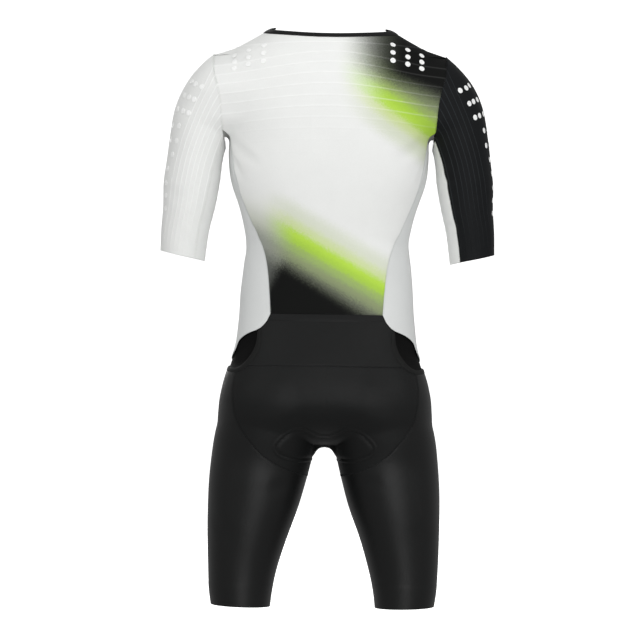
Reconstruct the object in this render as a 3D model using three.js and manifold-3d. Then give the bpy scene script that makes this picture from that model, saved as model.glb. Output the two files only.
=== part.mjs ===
// Short-sleeved, one-piece triathlon suit, filled out as if worn, with nobody in it.
// Millimetres. The front faces -Y, the back +Y and +Z is up; the wearer's left is +X.
// The origin is the hold point, level with the sides of the neck.
import * as THREE from "three";
import Module from "manifold-3d";

// Cloth and seams
const CLOTH = 1.7;
const SEAM_GAP = 0.45;
const ARMHOLE_GAP = 0.45;
const LAYER_GAP = 0.5;

// Openings
const NECK_SIDE = 1;
const NECK_BACK = -16.5;
const NECK_FRONT = -66;
const BINDING_RISE = 6.5;
const BINDING_GAP = 1.1;
const CUFF_OUTER = -371;
const CUFF_INNER = -388;
const HEM = -955;

// Zip
const ZIP_END = -430;
const ZIP_HALF_OPENING = 5;
const TEETH_HALF_WIDTH = 2.8;
const TAPE_HALF_WIDTH = 13;
const SLIDER_TOP = -92;

// Waist, rear pocket and seat
const POCKET_TOP = -473;
const POCKET_BOTTOM = -555.5;
const WAIST_FRONT = -548;
const CROTCH_DEPTH = -5;
const SEAT_TIP = -738;
const POCKET_BAND = 10;
const POCKET_BAND_RELIEF = 0.45;
const POCKET_DEPTH = 7.2;
const BACKING_THICKNESS = 1.4;
const UNDERLAP = 8;
const PAD_THICKNESS = 7;
const PAD_EDGE = 2;
const PAD_RELIEF = 1.1;

// Ribs
const RIB_HEIGHT = 0.7;
const RIB_HALF_WIDTH = 2.6;

const DEGREE = Math.PI / 180;

function table(columns, rows) {
  return rows.map((row) => Object.fromEntries(columns.map((name, i) => [name, row[i]])));
}

// The form. Each row is one level: its half width, how far the back and the front stand
// from the middle plane, and the power that makes an oval squarer.
const TORSO = table(
  ["z", "halfWidth", "back", "front", "power"],
  [
    [60, 62, 36, -62, 2.0],
    [12, 76, 50, -66, 2.0],
    [4, 88, 54, -68, 2.0],
    [-2, 99, 57, -69, 2.0],
    [-20, 129, 66, -74, 2.0],
    [-40, 163, 76, -80, 2.05],
    [-50, 176, 80, -83, 2.1],
    [-65, 183, 85, -87, 2.2],
    [-90, 183, 92, -95, 2.35],
    [-120, 178, 97, -105, 2.45],
    [-155, 171, 99, -113, 2.5],
    [-190, 166, 98, -117, 2.5],
    [-218, 164.5, 96, -117, 2.5],
    [-257, 160, 91, -114, 2.5],
    [-297, 147, 84, -109, 2.4],
    [-327, 139, 78, -105, 2.35],
    [-356, 134.5, 74, -102, 2.3],
    [-396, 138.5, 74, -100, 2.3],
    [-436, 142.3, 79, -99, 2.3],
    [-475, 144.5, 88, -98, 2.3],
    [-515, 148.5, 98, -97, 2.3],
    [-554, 155, 107, -94, 2.35],
    [-594, 161, 112, -89, 2.4],
    [-625, 160, 108, -82, 2.4],
    [-650, 146, 92, -70, 2.3],
    [-668, 112, 66, -54, 2.2],
    [-680, 66, 38, -34, 2.1],
    [-687, 22, 12, -12, 2.0],
  ],
);

const LEG = table(
  ["z", "middle", "halfWidth", "back", "front"],
  [
    [-520, 82, 30, 40, -40],
    [-560, 85, 58, 74, -66],
    [-594, 88, 72, 94, -78],
    [-634, 92, 80, 98, -84],
    [-673, 97.5, 84, 90, -86],
    [-713, 104, 83, 80, -86],
    [-752, 110.5, 80, 76, -84],
    [-792, 116.7, 74.7, 72, -80],
    [-851, 127.4, 64, 64, -72],
    [-891, 132.4, 57.4, 59, -66],
    [-930, 135.3, 52, 55, -61],
    [-975, 134.5, 46, 51, -56],
  ],
);

const ARM = table(
  ["z", "middle", "halfWidth", "back", "front"],
  [
    [-46, 184, 6, 6, -10],
    [-52, 184, 14, 18, -22],
    [-60, 185, 23, 30, -34],
    [-79, 187, 39, 45, -48],
    [-99, 191, 48.5, 53, -56],
    [-119, 197, 52, 56, -59],
    [-139, 203, 52.5, 57, -60],
    [-178, 213, 49, 55, -59],
    [-218, 221, 46, 51, -57],
    [-257, 225.6, 46.5, 48, -55],
    [-297, 229, 43, 44, -52],
    [-337, 235, 39.5, 40, -49],
    [-376, 238.5, 37.5, 37, -47],
    [-400, 240, 36.5, 36, -46],
  ],
);

// The row of a table at one height, with a smooth curve through its values.
function levelOf(rows, z) {
  const last = rows.length - 1;
  if (z >= rows[0].z) {
    return rows[0];
  }
  if (z <= rows[last].z) {
    return rows[last];
  }
  let i = 0;
  while (rows[i + 1].z > z) {
    i += 1;
  }
  const step = rows[i + 1].z - rows[i].z;
  const t = (z - rows[i].z) / step;
  const slope = (a, b, name) => (rows[b][name] - rows[a][name]) / (rows[b].z - rows[a].z);
  const level = { z };
  for (const name of Object.keys(rows[0]).slice(1)) {
    const here = slope(i, i + 1, name);
    const before = i > 0 ? (slope(i - 1, i, name) + here) / 2 : here;
    const after = i + 1 < last ? (slope(i + 1, i + 2, name) + here) / 2 : here;
    level[name] =
      (2 * t ** 3 - 3 * t ** 2 + 1) * rows[i][name] +
      (t ** 3 - 2 * t ** 2 + t) * step * before +
      (3 * t ** 2 - 2 * t ** 3) * rows[i + 1][name] +
      (t ** 3 - t ** 2) * step * after;
  }
  return level;
}

function smoothStep(from, to, x) {
  const t = Math.min(1, Math.max(0, (x - from) / (to - from)));
  return t * t * (3 - 2 * t);
}

function lerp(a, b, t) {
  return a + (b - a) * t;
}

function softMin(a, b, blend) {
  const overlap = Math.max(blend - Math.abs(a - b), 0) / blend;
  return Math.min(a, b) - (overlap * overlap * blend) / 4;
}

function ovalField(dx, dy, halfX, halfY, power) {
  const reach = (Math.abs(dx / halfX) ** power + Math.abs(dy / halfY) ** power) ** (1 / power);
  const distance = Math.hypot(dx, dy);
  return reach < 1e-6 ? -Math.min(halfX, halfY) : distance - distance / reach;
}

const CROTCH_BLEND = 24;
const HIP_BLEND = 16;
const ARMPIT_BLEND = 8;
const SHOULDER_BLEND = 26;
const BLADE_BLEND = 62;

// Below zero inside the form, zero on the cloth's outer face.
function formField(x, y, z) {
  const torso = levelOf(TORSO, z);
  const arm = levelOf(ARM, z);
  const leg = levelOf(LEG, z);
  const bottom = TORSO[TORSO.length - 1].z;
  let field = ovalField(
    x,
    y - (torso.back + torso.front) / 2,
    torso.halfWidth,
    (torso.back - torso.front) / 2,
    torso.power,
  );
  field = Math.max(field, bottom - z);
  const armField = Math.max(
    ovalField(
      Math.abs(x) - arm.middle,
      y - (arm.back + arm.front) / 2,
      arm.halfWidth,
      (arm.back - arm.front) / 2,
      2,
    ),
    (z - ARM[0].z) * 2,
    ARM[ARM.length - 1].z - z,
  );
  const bladeLevel = smoothStep(-196, -150, z) * smoothStep(-44, -115, z);
  const blade = bladeLevel * smoothStep(4, 40, Math.abs(y + 3));
  const blend = ARMPIT_BLEND + SHOULDER_BLEND * smoothStep(-150, -60, z) + BLADE_BLEND * blade;
  field = softMin(field, armField, blend);
  const legField = (side) =>
    Math.max(
      ovalField(
        x - side * leg.middle,
        y - (leg.back + leg.front) / 2,
        leg.halfWidth,
        (leg.back - leg.front) / 2,
        2.1,
      ),
      z - LEG[0].z,
    );
  const legs = softMin(legField(1), legField(-1), CROTCH_BLEND);
  return softMin(field, legs, CROTCH_BLEND + HIP_BLEND * smoothStep(30, 80, Math.abs(x)));
}

// The first crossing of the form's face along a ray that starts inside.
function crossing(origin, direction, start = 0, step = 5, limit = 420) {
  const at = (r) =>
    formField(
      origin[0] + direction[0] * r,
      origin[1] + direction[1] * r,
      origin[2] + direction[2] * r,
    );
  let low = start;
  let high = start + step;
  while (at(high) < 0 && high < limit) {
    low = high;
    high += step;
  }
  for (let i = 0; i < 26; i += 1) {
    const middle = (low + high) / 2;
    if (at(middle) < 0) {
      low = middle;
    } else {
      high = middle;
    }
  }
  return [0, 1, 2].map((k) => origin[k] + direction[k] * high);
}

function normalAt(point) {
  const e = 0.8;
  const [x, y, z] = point;
  const slope = [
    formField(x + e, y, z) - formField(x - e, y, z),
    formField(x, y + e, z) - formField(x, y - e, z),
    formField(x, y, z + e) - formField(x, y, z - e),
  ];
  const length = Math.hypot(...slope);
  return slope.map((value) => value / length);
}

// A chart turns an angle and a height into a point of the form, by a level ray from an axis.
// Angle 0 points outward to +X, 90 to the back.
function makeChart(axisAt, oneSided = false) {
  return {
    point([angle, z]) {
      const [x, y] = axisAt(z);
      const direction = [Math.cos(angle * DEGREE), Math.sin(angle * DEGREE), 0];
      const point = crossing([x, y, z], direction);
      if (oneSided && point[0] < 0) {
        const reach = x / -direction[0];
        return [0, y + direction[1] * reach, z];
      }
      return point;
    },
    place(point, turn = 0) {
      const [x, y] = axisAt(point[2]);
      let angle = Math.atan2(point[1] - y, point[0] - x) / DEGREE;
      if (angle < turn - 180) {
        angle += 360;
      }
      if (angle > turn + 180) {
        angle -= 360;
      }
      return [angle, point[2]];
    },
  };
}

const torsoChart = makeChart((z) => {
  const level = levelOf(TORSO, z);
  return [0, (level.back + level.front) / 2];
});
const legChart = makeChart((z) => {
  const level = levelOf(LEG, z);
  return [level.middle, (level.back + level.front) / 2];
}, true);
const armChart = makeChart((z) => {
  const level = levelOf(ARM, z);
  return [level.middle, (level.back + level.front) / 2];
});

function onFace(x, z, side) {
  const level = levelOf(TORSO, z);
  return crossing([x, (level.back + level.front) / 2, z], [0, side, 0]);
}

// A smooth path through a few places, run at an even pace. Works in any number of values.
function pathThrough(places) {
  const padded = places.map((place) => new THREE.Vector3(place[0], place[1], place[2] ?? 0));
  const curve = new THREE.CatmullRomCurve3(padded, false, "centripetal");
  curve.arcLengthDivisions = 400;
  return (t) => curve.getPointAt(Math.min(1, Math.max(0, t))).toArray();
}

// Several stretches run one after the other, each with its own share of 0 to 1.
function joinPaths(stretches) {
  return (t) => {
    let from = 0;
    for (const [share, path] of stretches) {
      if (t <= from + share + 1e-9) {
        return path(Math.min(1, (t - from) / share));
      }
      from += share;
    }
    return stretches[stretches.length - 1][1](1);
  };
}

const reversed = (path) => (t) => path(1 - t);
const between = (path, from, to) => (t) => path(lerp(from, to, t));

// A patch of a chart between four edges, as angle and height.
function patchBetween(top, bottom, left, right) {
  const corners = [top(0), top(1), bottom(0), bottom(1)];
  return (s, t) =>
    [0, 1].map(
      (k) =>
        (1 - t) * top(s)[k] +
        t * bottom(s)[k] +
        (1 - s) * left(t)[k] +
        s * right(t)[k] -
        (1 - s) * (1 - t) * corners[0][k] -
        s * (1 - t) * corners[1][k] -
        (1 - s) * t * corners[2][k] -
        s * t * corners[3][k],
    );
}

function evenStops(count) {
  return Array.from({ length: count + 1 }, (_, i) => i / count);
}

const vector = (point) => new THREE.Vector3(...point);

// Draws the rim points in from the seam, square to the rim, to leave the gap of a seam.
function drawIn(points, gaps) {
  const rows = points.length;
  const columns = points[0].length;
  const moved = points.map((row) => row.map((point) => point.clone()));
  const pull = (i, j, inner, before, after, gap) => {
    const along = after.clone().sub(before).normalize();
    const into = inner.clone().sub(points[i][j]);
    into.addScaledVector(along, -into.dot(along)).normalize();
    moved[i][j].addScaledVector(into, gap);
  };
  for (let i = 0; i < rows; i += 1) {
    const up = points[Math.max(0, i - 1)];
    const down = points[Math.min(rows - 1, i + 1)];
    pull(i, 0, points[i][1], up[0], down[0], gaps.left);
    pull(i, columns - 1, points[i][columns - 2], up[columns - 1], down[columns - 1], gaps.right);
  }
  for (let j = 0; j < columns; j += 1) {
    const before = Math.max(0, j - 1);
    const after = Math.min(columns - 1, j + 1);
    pull(0, j, points[1][j], points[0][before], points[0][after], gaps.top);
    pull(rows - 1, j, points[rows - 2][j], points[rows - 1][before], points[rows - 1][after], gaps.bottom);
  }
  return moved;
}

// Joins two rims. Each point is joined to the points of the other rim that it is nearest to.
function stripBetween(triangles, upper, lower) {
  const halfway = (rim, i) => (i < rim.length - 1 ? rim[i].at + rim[i + 1].at : Infinity);
  let i = 0;
  let j = 0;
  while (i < upper.length - 1 || j < lower.length - 1) {
    if (halfway(upper, i) <= halfway(lower, j)) {
      triangles.push([upper[i].id, upper[i + 1].id, lower[j].id]);
      i += 1;
    } else {
      triangles.push([upper[i].id, lower[j + 1].id, lower[j].id]);
      j += 1;
    }
  }
}

function rimOf(grid, across, down) {
  const lastRow = grid.length - 1;
  const lastColumn = grid[0].length - 1;
  const rim = [];
  for (let j = 0; j < lastColumn; j += 1) {
    rim.push({ id: grid[0][j], at: across[j] });
  }
  for (let i = 0; i < lastRow; i += 1) {
    rim.push({ id: grid[i][lastColumn], at: 1 + down[i] });
  }
  for (let j = lastColumn; j > 0; j -= 1) {
    rim.push({ id: grid[lastRow][j], at: 3 - across[j] });
  }
  for (let i = lastRow; i > 0; i -= 1) {
    rim.push({ id: grid[i][0], at: 4 - down[i] });
  }
  rim.push({ id: grid[0][0], at: 4 });
  return rim;
}

function solidFrom(points, triangles) {
  let volume = 0;
  for (const [a, b, c] of triangles) {
    volume += points[a].dot(points[b].clone().cross(points[c]));
  }
  const faces = volume < 0 ? triangles.map(([a, b, c]) => [a, c, b]) : triangles;
  const geometry = new THREE.BufferGeometry();
  geometry.setAttribute(
    "position",
    new THREE.Float32BufferAttribute(points.flatMap((point) => point.toArray()), 3),
  );
  geometry.setIndex(faces.flat());
  geometry.computeVertexNormals();
  return geometry;
}

const SEAM_ALL_ROUND = {
  left: SEAM_GAP / 2,
  right: SEAM_GAP / 2,
  top: SEAM_GAP / 2,
  bottom: SEAM_GAP / 2,
};

// A cloth wall over a patch of the form. place(s, t) gives the point on the form's face.
// relief raises the outer face only; depth sinks the whole wall.
function clothWall(options) {
  const {
    place,
    across,
    down,
    acrossInside = across,
    downInside = down,
    thickness = CLOTH,
    depth = () => 0,
    relief = () => 0,
    gaps = SEAM_ALL_ROUND,
  } = options;
  const layer = (sStops, tStops, sink) =>
    drawIn(
      tStops.map((t) =>
        sStops.map((s) => {
          const point = place(s, t);
          const normal = normalAt(point);
          return vector(point).addScaledVector(vector(normal), -sink(s, t, point));
        }),
      ),
      gaps,
    );
  const thicknessAt = typeof thickness === "number" ? () => thickness : thickness;
  const outer = layer(across, down, (s, t, point) => depth(s, t, point) - relief(s, t, point));
  const inner = layer(
    acrossInside,
    downInside,
    (s, t, point) => depth(s, t, point) + thicknessAt(s, t),
  );
  const points = [];
  const number = (rows) =>
    rows.map((row) =>
      row.map((point) => {
        points.push(point);
        return points.length - 1;
      }),
    );
  const outerIds = number(outer);
  const innerIds = number(inner);
  const triangles = [];
  const fill = (ids, flip) => {
    for (let i = 0; i < ids.length - 1; i += 1) {
      for (let j = 0; j < ids[0].length - 1; j += 1) {
        const [a, b, c, d] = [ids[i][j], ids[i][j + 1], ids[i + 1][j + 1], ids[i + 1][j]];
        triangles.push(flip ? [a, c, b] : [a, b, c]);
        triangles.push(flip ? [a, d, c] : [a, c, d]);
      }
    }
  };
  fill(outerIds, false);
  fill(innerIds, true);
  stripBetween(triangles, rimOf(innerIds, acrossInside, downInside), rimOf(outerIds, across, down));
  return solidFrom(points, triangles);
}

function mirrored(geometry) {
  const copy = geometry.clone();
  copy.scale(-1, 1, 1);
  const index = Array.from(copy.index.array);
  for (let i = 0; i < index.length; i += 3) {
    [index[i + 1], index[i + 2]] = [index[i + 2], index[i + 1]];
  }
  copy.setIndex(index);
  copy.computeVertexNormals();
  return copy;
}

const flip = ([x, y, z]) => [-x, y, z];

const group = new THREE.Group();
group.name = "triathlon_suit";

const COLOURS = {
  pale: 0xe2e4e2,
  grey: 0xd2d5d4,
  black: 0x1c2022,
  trim: 0x121414,
  metal: 0x8c9092,
};

function add(name, geometry, colour, roughness = 0.9) {
  const material = new THREE.MeshStandardMaterial({ color: COLOURS[colour], roughness });
  const mesh = new THREE.Mesh(geometry, material);
  mesh.name = name;
  group.add(mesh);
}

// Seams of the neck, shoulder and armhole
const SHOULDER_ANGLE = -9;

function neckHeight(angle) {
  const back = Math.sin(angle * DEGREE);
  const drop = back > 0 ? NECK_BACK : NECK_FRONT;
  return NECK_SIDE + (drop - NECK_SIDE) * Math.abs(back) ** (back > 0 ? 1.5 : 1.25);
}

const ARMHOLE = table(
  ["z", "x"],
  [
    [-40, 192],
    [-60, 191.5],
    [-83, 189],
    [-102, 183.5],
    [-127, 178.5],
    [-153, 176],
    [-175, 174.5],
    [-200, 171.5],
  ],
);
const ARMHOLE_MIDDLE = -118;
const SHOULDER_TURN = 101;
const UNDERARM_TURN = -66;

// A point of the armhole seam. Turn 90 is the top of the shoulder, 0 the back, -90 the armpit.
function armholePoint(turn) {
  const [cosine, sine] = [Math.cos(turn * DEGREE), Math.sin(turn * DEGREE)];
  const at = (r) => {
    const z = ARMHOLE_MIDDLE + r * sine;
    return [levelOf(ARMHOLE, z).x, -3 + r * cosine, z];
  };
  let low = 10;
  let high = 14;
  while (formField(...at(high)) < 0 && high < 120) {
    low = high;
    high += 4;
  }
  for (let i = 0; i < 26; i += 1) {
    const middle = (low + high) / 2;
    if (formField(...at(middle)) < 0) {
      low = middle;
    } else {
      high = middle;
    }
  }
  return at(high);
}

const armholeBetween = (from, to, count = 24) =>
  pathThrough(evenStops(count).map((t) => armholePoint(lerp(from, to, t))));

const NECK_CORNER = [SHOULDER_ANGLE, neckHeight(SHOULDER_ANGLE)];
const shoulderEnd = armholePoint(SHOULDER_TURN);

const shoulderSeam = (t) => {
  const z = lerp(NECK_CORNER[1], shoulderEnd[2], t);
  const end = torsoChart.place(shoulderEnd)[0];
  return [lerp(SHOULDER_ANGLE, end, t), z];
};

// Seam between the back and the side panel, as it lies on the back
const BACK_SIDE_SEAM = table(
  ["z", "x"],
  [
    [-236, 155],
    [-256, 149],
    [-282, 142],
    [-311, 130],
    [-343, 115.5],
    [-368, 104.5],
    [-390, 99],
    [-430, 94.5],
    [POCKET_TOP, 91.5],
  ],
);
const backSideSeam = pathThrough([
  torsoChart.place(armholePoint(UNDERARM_TURN)),
  ...BACK_SIDE_SEAM.map(({ x, z }) => torsoChart.place(onFace(x, z, 1))),
]);
const FRONT_SIDE_SEAM = table(
  ["angle", "z"],
  [
    [-15, -236],
    [-28, -300],
    [-40, -360],
    [-46, -430],
    [-48, -490],
    [-49, WAIST_FRONT],
  ],
);
const frontUnderarm = armholePoint(180 - UNDERARM_TURN);
const frontSideSeam = pathThrough([
  torsoChart.place(frontUnderarm),
  ...FRONT_SIDE_SEAM.map(({ angle, z }) => [angle, z]),
]);

const toTorso = (path) => (t) => torsoChart.place(path(t));
const backArmhole = toTorso(armholeBetween(SHOULDER_TURN, UNDERARM_TURN));
const frontArmhole = toTorso(armholeBetween(SHOULDER_TURN, 180 - UNDERARM_TURN));

// Ribs across the back: where each crest runs at the middle and where it meets the armhole
const RIBS = table(
  ["middle", "edge"],
  [
    [-28, -36],
    [-44, -69],
    [-61, -85],
    [-78.5, -100.5],
    [-97, -116],
    [-116, -132],
    [-134, -148.5],
    [-152, -165],
    [-170, -180],
    [-189, -197],
    [-209, -215],
  ],
);

// How strongly the ribs stand out, fading down the back
const ribStrength = (z) => 1 - smoothStep(-150, -240, z);

function edgeTimeAt(edge, z) {
  let low = 0;
  let high = 1;
  for (let i = 0; i < 30; i += 1) {
    const middle = (low + high) / 2;
    if (edge(middle)[1] > z) {
      low = middle;
    } else {
      high = middle;
    }
  }
  return high;
}

const BACK_SHARE = { shoulder: 0.2, armhole: 0.3, side: 0.5 };
const backEdge = joinPaths([
  [BACK_SHARE.shoulder, shoulderSeam],
  [BACK_SHARE.armhole, backArmhole],
  [BACK_SHARE.side, backSideSeam],
]);

// Rows of the back panel: middle height, time along the side edge, and the rib's height there.
// The shoulder seam ends between the first two ribs.
const backRows = [];
function addBackRow(middle, edgeHeight, raised) {
  backRows.push({ middle, edge: edgeTimeAt(backEdge, edgeHeight), raised });
}
addBackRow(NECK_BACK, NECK_CORNER[1], 0);
backRows[0].edge = 0;
addBackRow(-22, -18, 0);
for (const rib of RIBS) {
  if (rib === RIBS[1]) {
    backRows.push({ middle: -36, edge: BACK_SHARE.shoulder, raised: 0 });
  }
  addBackRow(rib.middle + RIB_HALF_WIDTH, rib.edge + RIB_HALF_WIDTH, 0);
  addBackRow(rib.middle, rib.edge, RIB_HEIGHT * ribStrength(rib.middle));
  addBackRow(rib.middle - RIB_HALF_WIDTH, rib.edge - RIB_HALF_WIDTH, 0);
}
for (const z of [-236, -262, -290, -320, -350, -380, -410, -440, POCKET_TOP]) {
  addBackRow(z, z, 0);
}
backRows[backRows.length - 1].edge = 1;

const BACK_COLUMNS = 23;
const BACK_COLUMNS_INSIDE = 17;
const backArch = (s) => Math.abs(2 * s - 1) ** 2.2;

function backPlace(s, row) {
  const [edgeAngle, edgeZ] = backEdge(row.edge);
  const angle = lerp(edgeAngle, 180 - edgeAngle, s);
  return torsoChart.point([angle, lerp(row.middle, edgeZ, backArch(s))]);
}

const rowAt = (rows, t) => {
  const place = t * (rows.length - 1);
  const i = Math.min(rows.length - 2, Math.floor(place));
  const mix = place - i;
  return Object.fromEntries(
    Object.keys(rows[0]).map((name) => [name, lerp(rows[i][name], rows[i + 1][name], mix)]),
  );
};

const backDown = evenStops(backRows.length - 1);
const sideStart = BACK_SHARE.shoulder + BACK_SHARE.armhole + 1e-6;
const insideRows = backRows.map(({ edge, raised }, i) => {
  const rowsBySide = backRows.slice(0, i + 1).filter((row) => row.edge > sideStart).length;
  if (edge > sideStart) {
    return rowsBySide % 2 === 0;
  }
  return raised > 0 || i === 0 || edge === BACK_SHARE.shoulder;
});
add(
  "back_panel",
  clothWall({
    place: (s, t) => backPlace(s, rowAt(backRows, t)),
    across: evenStops(BACK_COLUMNS),
    down: backDown,
    acrossInside: evenStops(BACK_COLUMNS_INSIDE),
    downInside: backDown.filter((_, i) => insideRows[i] || i === backDown.length - 1),
    relief: (s, t) => rowAt(backRows, t).raised,
    gaps: { ...SEAM_ALL_ROUND, left: ARMHOLE_GAP, right: ARMHOLE_GAP },
  }),
  "pale",
);

// Front panels, one each side of the zip
const zipEdgeX = (z) => ZIP_HALF_OPENING * (1 - smoothStep(ZIP_END, ZIP_END - 12, z));
const neckAngleAtZip = -90 + 3.5;
const zipEdge = (t) => {
  const z = lerp(neckHeight(neckAngleAtZip), WAIST_FRONT, t);
  return torsoChart.place(onFace(zipEdgeX(z), z, -1));
};
const neckFront = (t) => {
  const end = zipEdge(0)[0];
  const angle = lerp(SHOULDER_ANGLE, end, t);
  return [angle, lerp(neckHeight(angle), zipEdge(0)[1], smoothStep(0.8, 1, t))];
};
const FRONT_SHARE = { shoulder: 0.22, armhole: 0.28, side: 0.5 };
const frontOuterEdge = joinPaths([
  [FRONT_SHARE.shoulder, shoulderSeam],
  [FRONT_SHARE.armhole, frontArmhole],
  [FRONT_SHARE.side, frontSideSeam],
]);
const waistSeam = (t) => [lerp(frontSideSeam(1)[0], zipEdge(1)[0], t), WAIST_FRONT];
const frontPatch = patchBetween(neckFront, waistSeam, frontOuterEdge, zipEdge);
// The panels on both sides of a seam share its stops, so their rims run side by side
const seamRows = backRows.filter(({ edge }) => edge > 0.5 + 1e-6).map(({ edge }) => 2 * edge - 1);
const seamStops = [0, ...seamRows];
const seamStopsInside = seamStops.filter((_, i) => i % 2 === 0 || i === seamStops.length - 1);
const frontStops = (shoulder, armhole, lower) => [
  ...evenStops(shoulder).map((t) => FRONT_SHARE.shoulder * t),
  ...evenStops(armhole).slice(1).map((t) => FRONT_SHARE.shoulder + FRONT_SHARE.armhole * t),
  ...lower.slice(1).map((t) => FRONT_SHARE.side * (1 + t)),
];
const front = clothWall({
  place: (s, t) => torsoChart.point(frontPatch(s, t)),
  across: evenStops(11),
  down: frontStops(6, 10, seamStops),
  acrossInside: evenStops(8),
  downInside: frontStops(5, 7, seamStopsInside),
});
add("front_left", front, "pale");
add("front_right", mirrored(front), "pale");

// Side panels, from the armpit to the waist. The back part of the lower edge is the upper lip
// of the pocket mouth.
const MOUTH_LIP = table(
  ["z", "x"],
  [
    [-486, 98.5],
    [-497, 110],
    [-505.5, 129],
    [-518, 144],
  ],
);
const LIP_SIDE = [6, -537];
const MOUTH_END = [-12, -551];
const sideLower = pathThrough([
  backSideSeam(1),
  ...MOUTH_LIP.map(({ x, z }) => torsoChart.place(onFace(x, z, 1))),
  LIP_SIDE,
  MOUTH_END,
  [-30, WAIST_FRONT - 1],
  frontSideSeam(1),
]);
const sideUpper = toTorso(armholeBetween(UNDERARM_TURN, -180 + -UNDERARM_TURN, 8));
const sidePatch = patchBetween(sideUpper, sideLower, backSideSeam, frontSideSeam);
const side = clothWall({
  place: (s, t) => torsoChart.point(sidePatch(s, t)),
  across: evenStops(12),
  down: seamStops,
  acrossInside: evenStops(10),
  downInside: seamStopsInside,
});
add("side_left", side, "grey");
add("side_right", mirrored(side), "grey");

// Sleeves
const cuffHeight = (angle) => lerp(CUFF_INNER, CUFF_OUTER, (1 + Math.cos(angle * DEGREE)) / 2);
const CUFF_UNDER = 123;

function underSleeveSeam(turn, cuffAngle) {
  const [angle, z] = armChart.place(armholePoint(turn), Math.sign(cuffAngle) * 90);
  return (t) => [
    cuffAngle + (angle - cuffAngle) * (1 - t) ** 2.4,
    lerp(z, cuffHeight(cuffAngle), t),
  ];
}
const underSleeveBack = underSleeveSeam(UNDERARM_TURN, CUFF_UNDER);
const underSleeveFront = underSleeveSeam(180 - UNDERARM_TURN, -CUFF_UNDER);

// The sleeve's ribs start where the ribs of the back reach the armhole
function armholeTurnAt(z) {
  let low = UNDERARM_TURN;
  let high = 90;
  for (let i = 0; i < 24; i += 1) {
    const middle = (low + high) / 2;
    if (armholePoint(middle)[2] < z) {
      low = middle;
    } else {
      high = middle;
    }
  }
  return high;
}
const ribTurns = RIBS.filter(({ edge }) => edge < -60 && edge > -182).map(({ edge }) =>
  armholeTurnAt(edge),
);
const RIB_TURN_WIDTH = 2.3;
const sleeveStops = [{ turn: UNDERARM_TURN, raised: 0 }];
const addSleeveRib = (turn) => {
  sleeveStops.push({ turn: turn - RIB_TURN_WIDTH, raised: 0 });
  sleeveStops.push({ turn, raised: RIB_HEIGHT });
  sleeveStops.push({ turn: turn + RIB_TURN_WIDTH, raised: 0 });
};
[...ribTurns].reverse().forEach(addSleeveRib);
addSleeveRib(90);
ribTurns.forEach((turn) => addSleeveRib(180 - turn));
sleeveStops.push({ turn: 180 - UNDERARM_TURN, raised: 0 });

const nearShoulder = sleeveStops
  .filter(({ raised }) => raised === 0)
  .reduce((best, stop) =>
    Math.abs(stop.turn - SHOULDER_TURN) < Math.abs(best.turn - SHOULDER_TURN) ? stop : best,
  );
nearShoulder.turn = SHOULDER_TURN;

const turnSpan = 180 - 2 * UNDERARM_TURN;
sleeveStops.forEach((stop) => {
  stop.share = (stop.turn - UNDERARM_TURN) / turnSpan;
});
const raisedAt = (s) => sleeveStops.find((stop) => Math.abs(stop.share - s) < 1e-6)?.raised ?? 0;
const sleeveTop = (s) => {
  const turn = lerp(UNDERARM_TURN, 180 - UNDERARM_TURN, s);
  return armChart.place(armholePoint(turn), turn < 90 ? 90 : -90);
};
const sleeveCuff = (s) => {
  const angle = lerp(CUFF_UNDER, -CUFF_UNDER, s);
  return [angle, cuffHeight(angle)];
};
const sleevePatch = patchBetween(sleeveTop, sleeveCuff, underSleeveBack, underSleeveFront);
const sleeveOuter = clothWall({
  place: (s, t) => armChart.point(sleevePatch(s, t)),
  across: sleeveStops.map((stop) => stop.share),
  down: evenStops(9),
  acrossInside: [
    0,
    ...sleeveStops.filter((stop) => stop.raised > 0 || stop === nearShoulder).map(({ share }) => share),
    1,
  ],
  downInside: evenStops(8),
  relief: (s, t) => raisedAt(s) * (1 - smoothStep(0.9, 1, t)),
  gaps: { ...SEAM_ALL_ROUND, top: 0.85, bottom: 0 },
});
add("sleeve_outer_left", sleeveOuter, "pale");
add("sleeve_outer_right", mirrored(sleeveOuter), "black");

const underTop = (s) => {
  const turn = lerp(UNDERARM_TURN, -180 - UNDERARM_TURN, s);
  return armChart.place(armholePoint(turn), 180);
};
const underCuff = (s) => {
  const angle = lerp(CUFF_UNDER, 360 - CUFF_UNDER, s);
  return [angle, cuffHeight(angle)];
};
const underRight = (t) => {
  const [angle, z] = underSleeveFront(t);
  return [angle + 360, z];
};
const underPatch = patchBetween(underTop, underCuff, underSleeveBack, underRight);
const sleeveInner = clothWall({
  place: (s, t) => armChart.point(underPatch(s, t)),
  across: evenStops(10),
  down: evenStops(14),
  acrossInside: evenStops(8),
  downInside: evenStops(10),
  gaps: { ...SEAM_ALL_ROUND, bottom: 0 },
});
add("sleeve_inner_left", sleeveInner, "pale");
add("sleeve_inner_right", mirrored(sleeveInner), "pale");

// Rear pocket: its panel, the layer behind it and the bound edges of its two mouths
const BAND_STOPS = 12;
const BAND_ON_POCKET = 8;
const BAND_ON_SEAT = 2;
const bandShare = BAND_ON_POCKET / BAND_STOPS;
const hipShare = (BAND_ON_POCKET + BAND_ON_SEAT) / BAND_STOPS;

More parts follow.
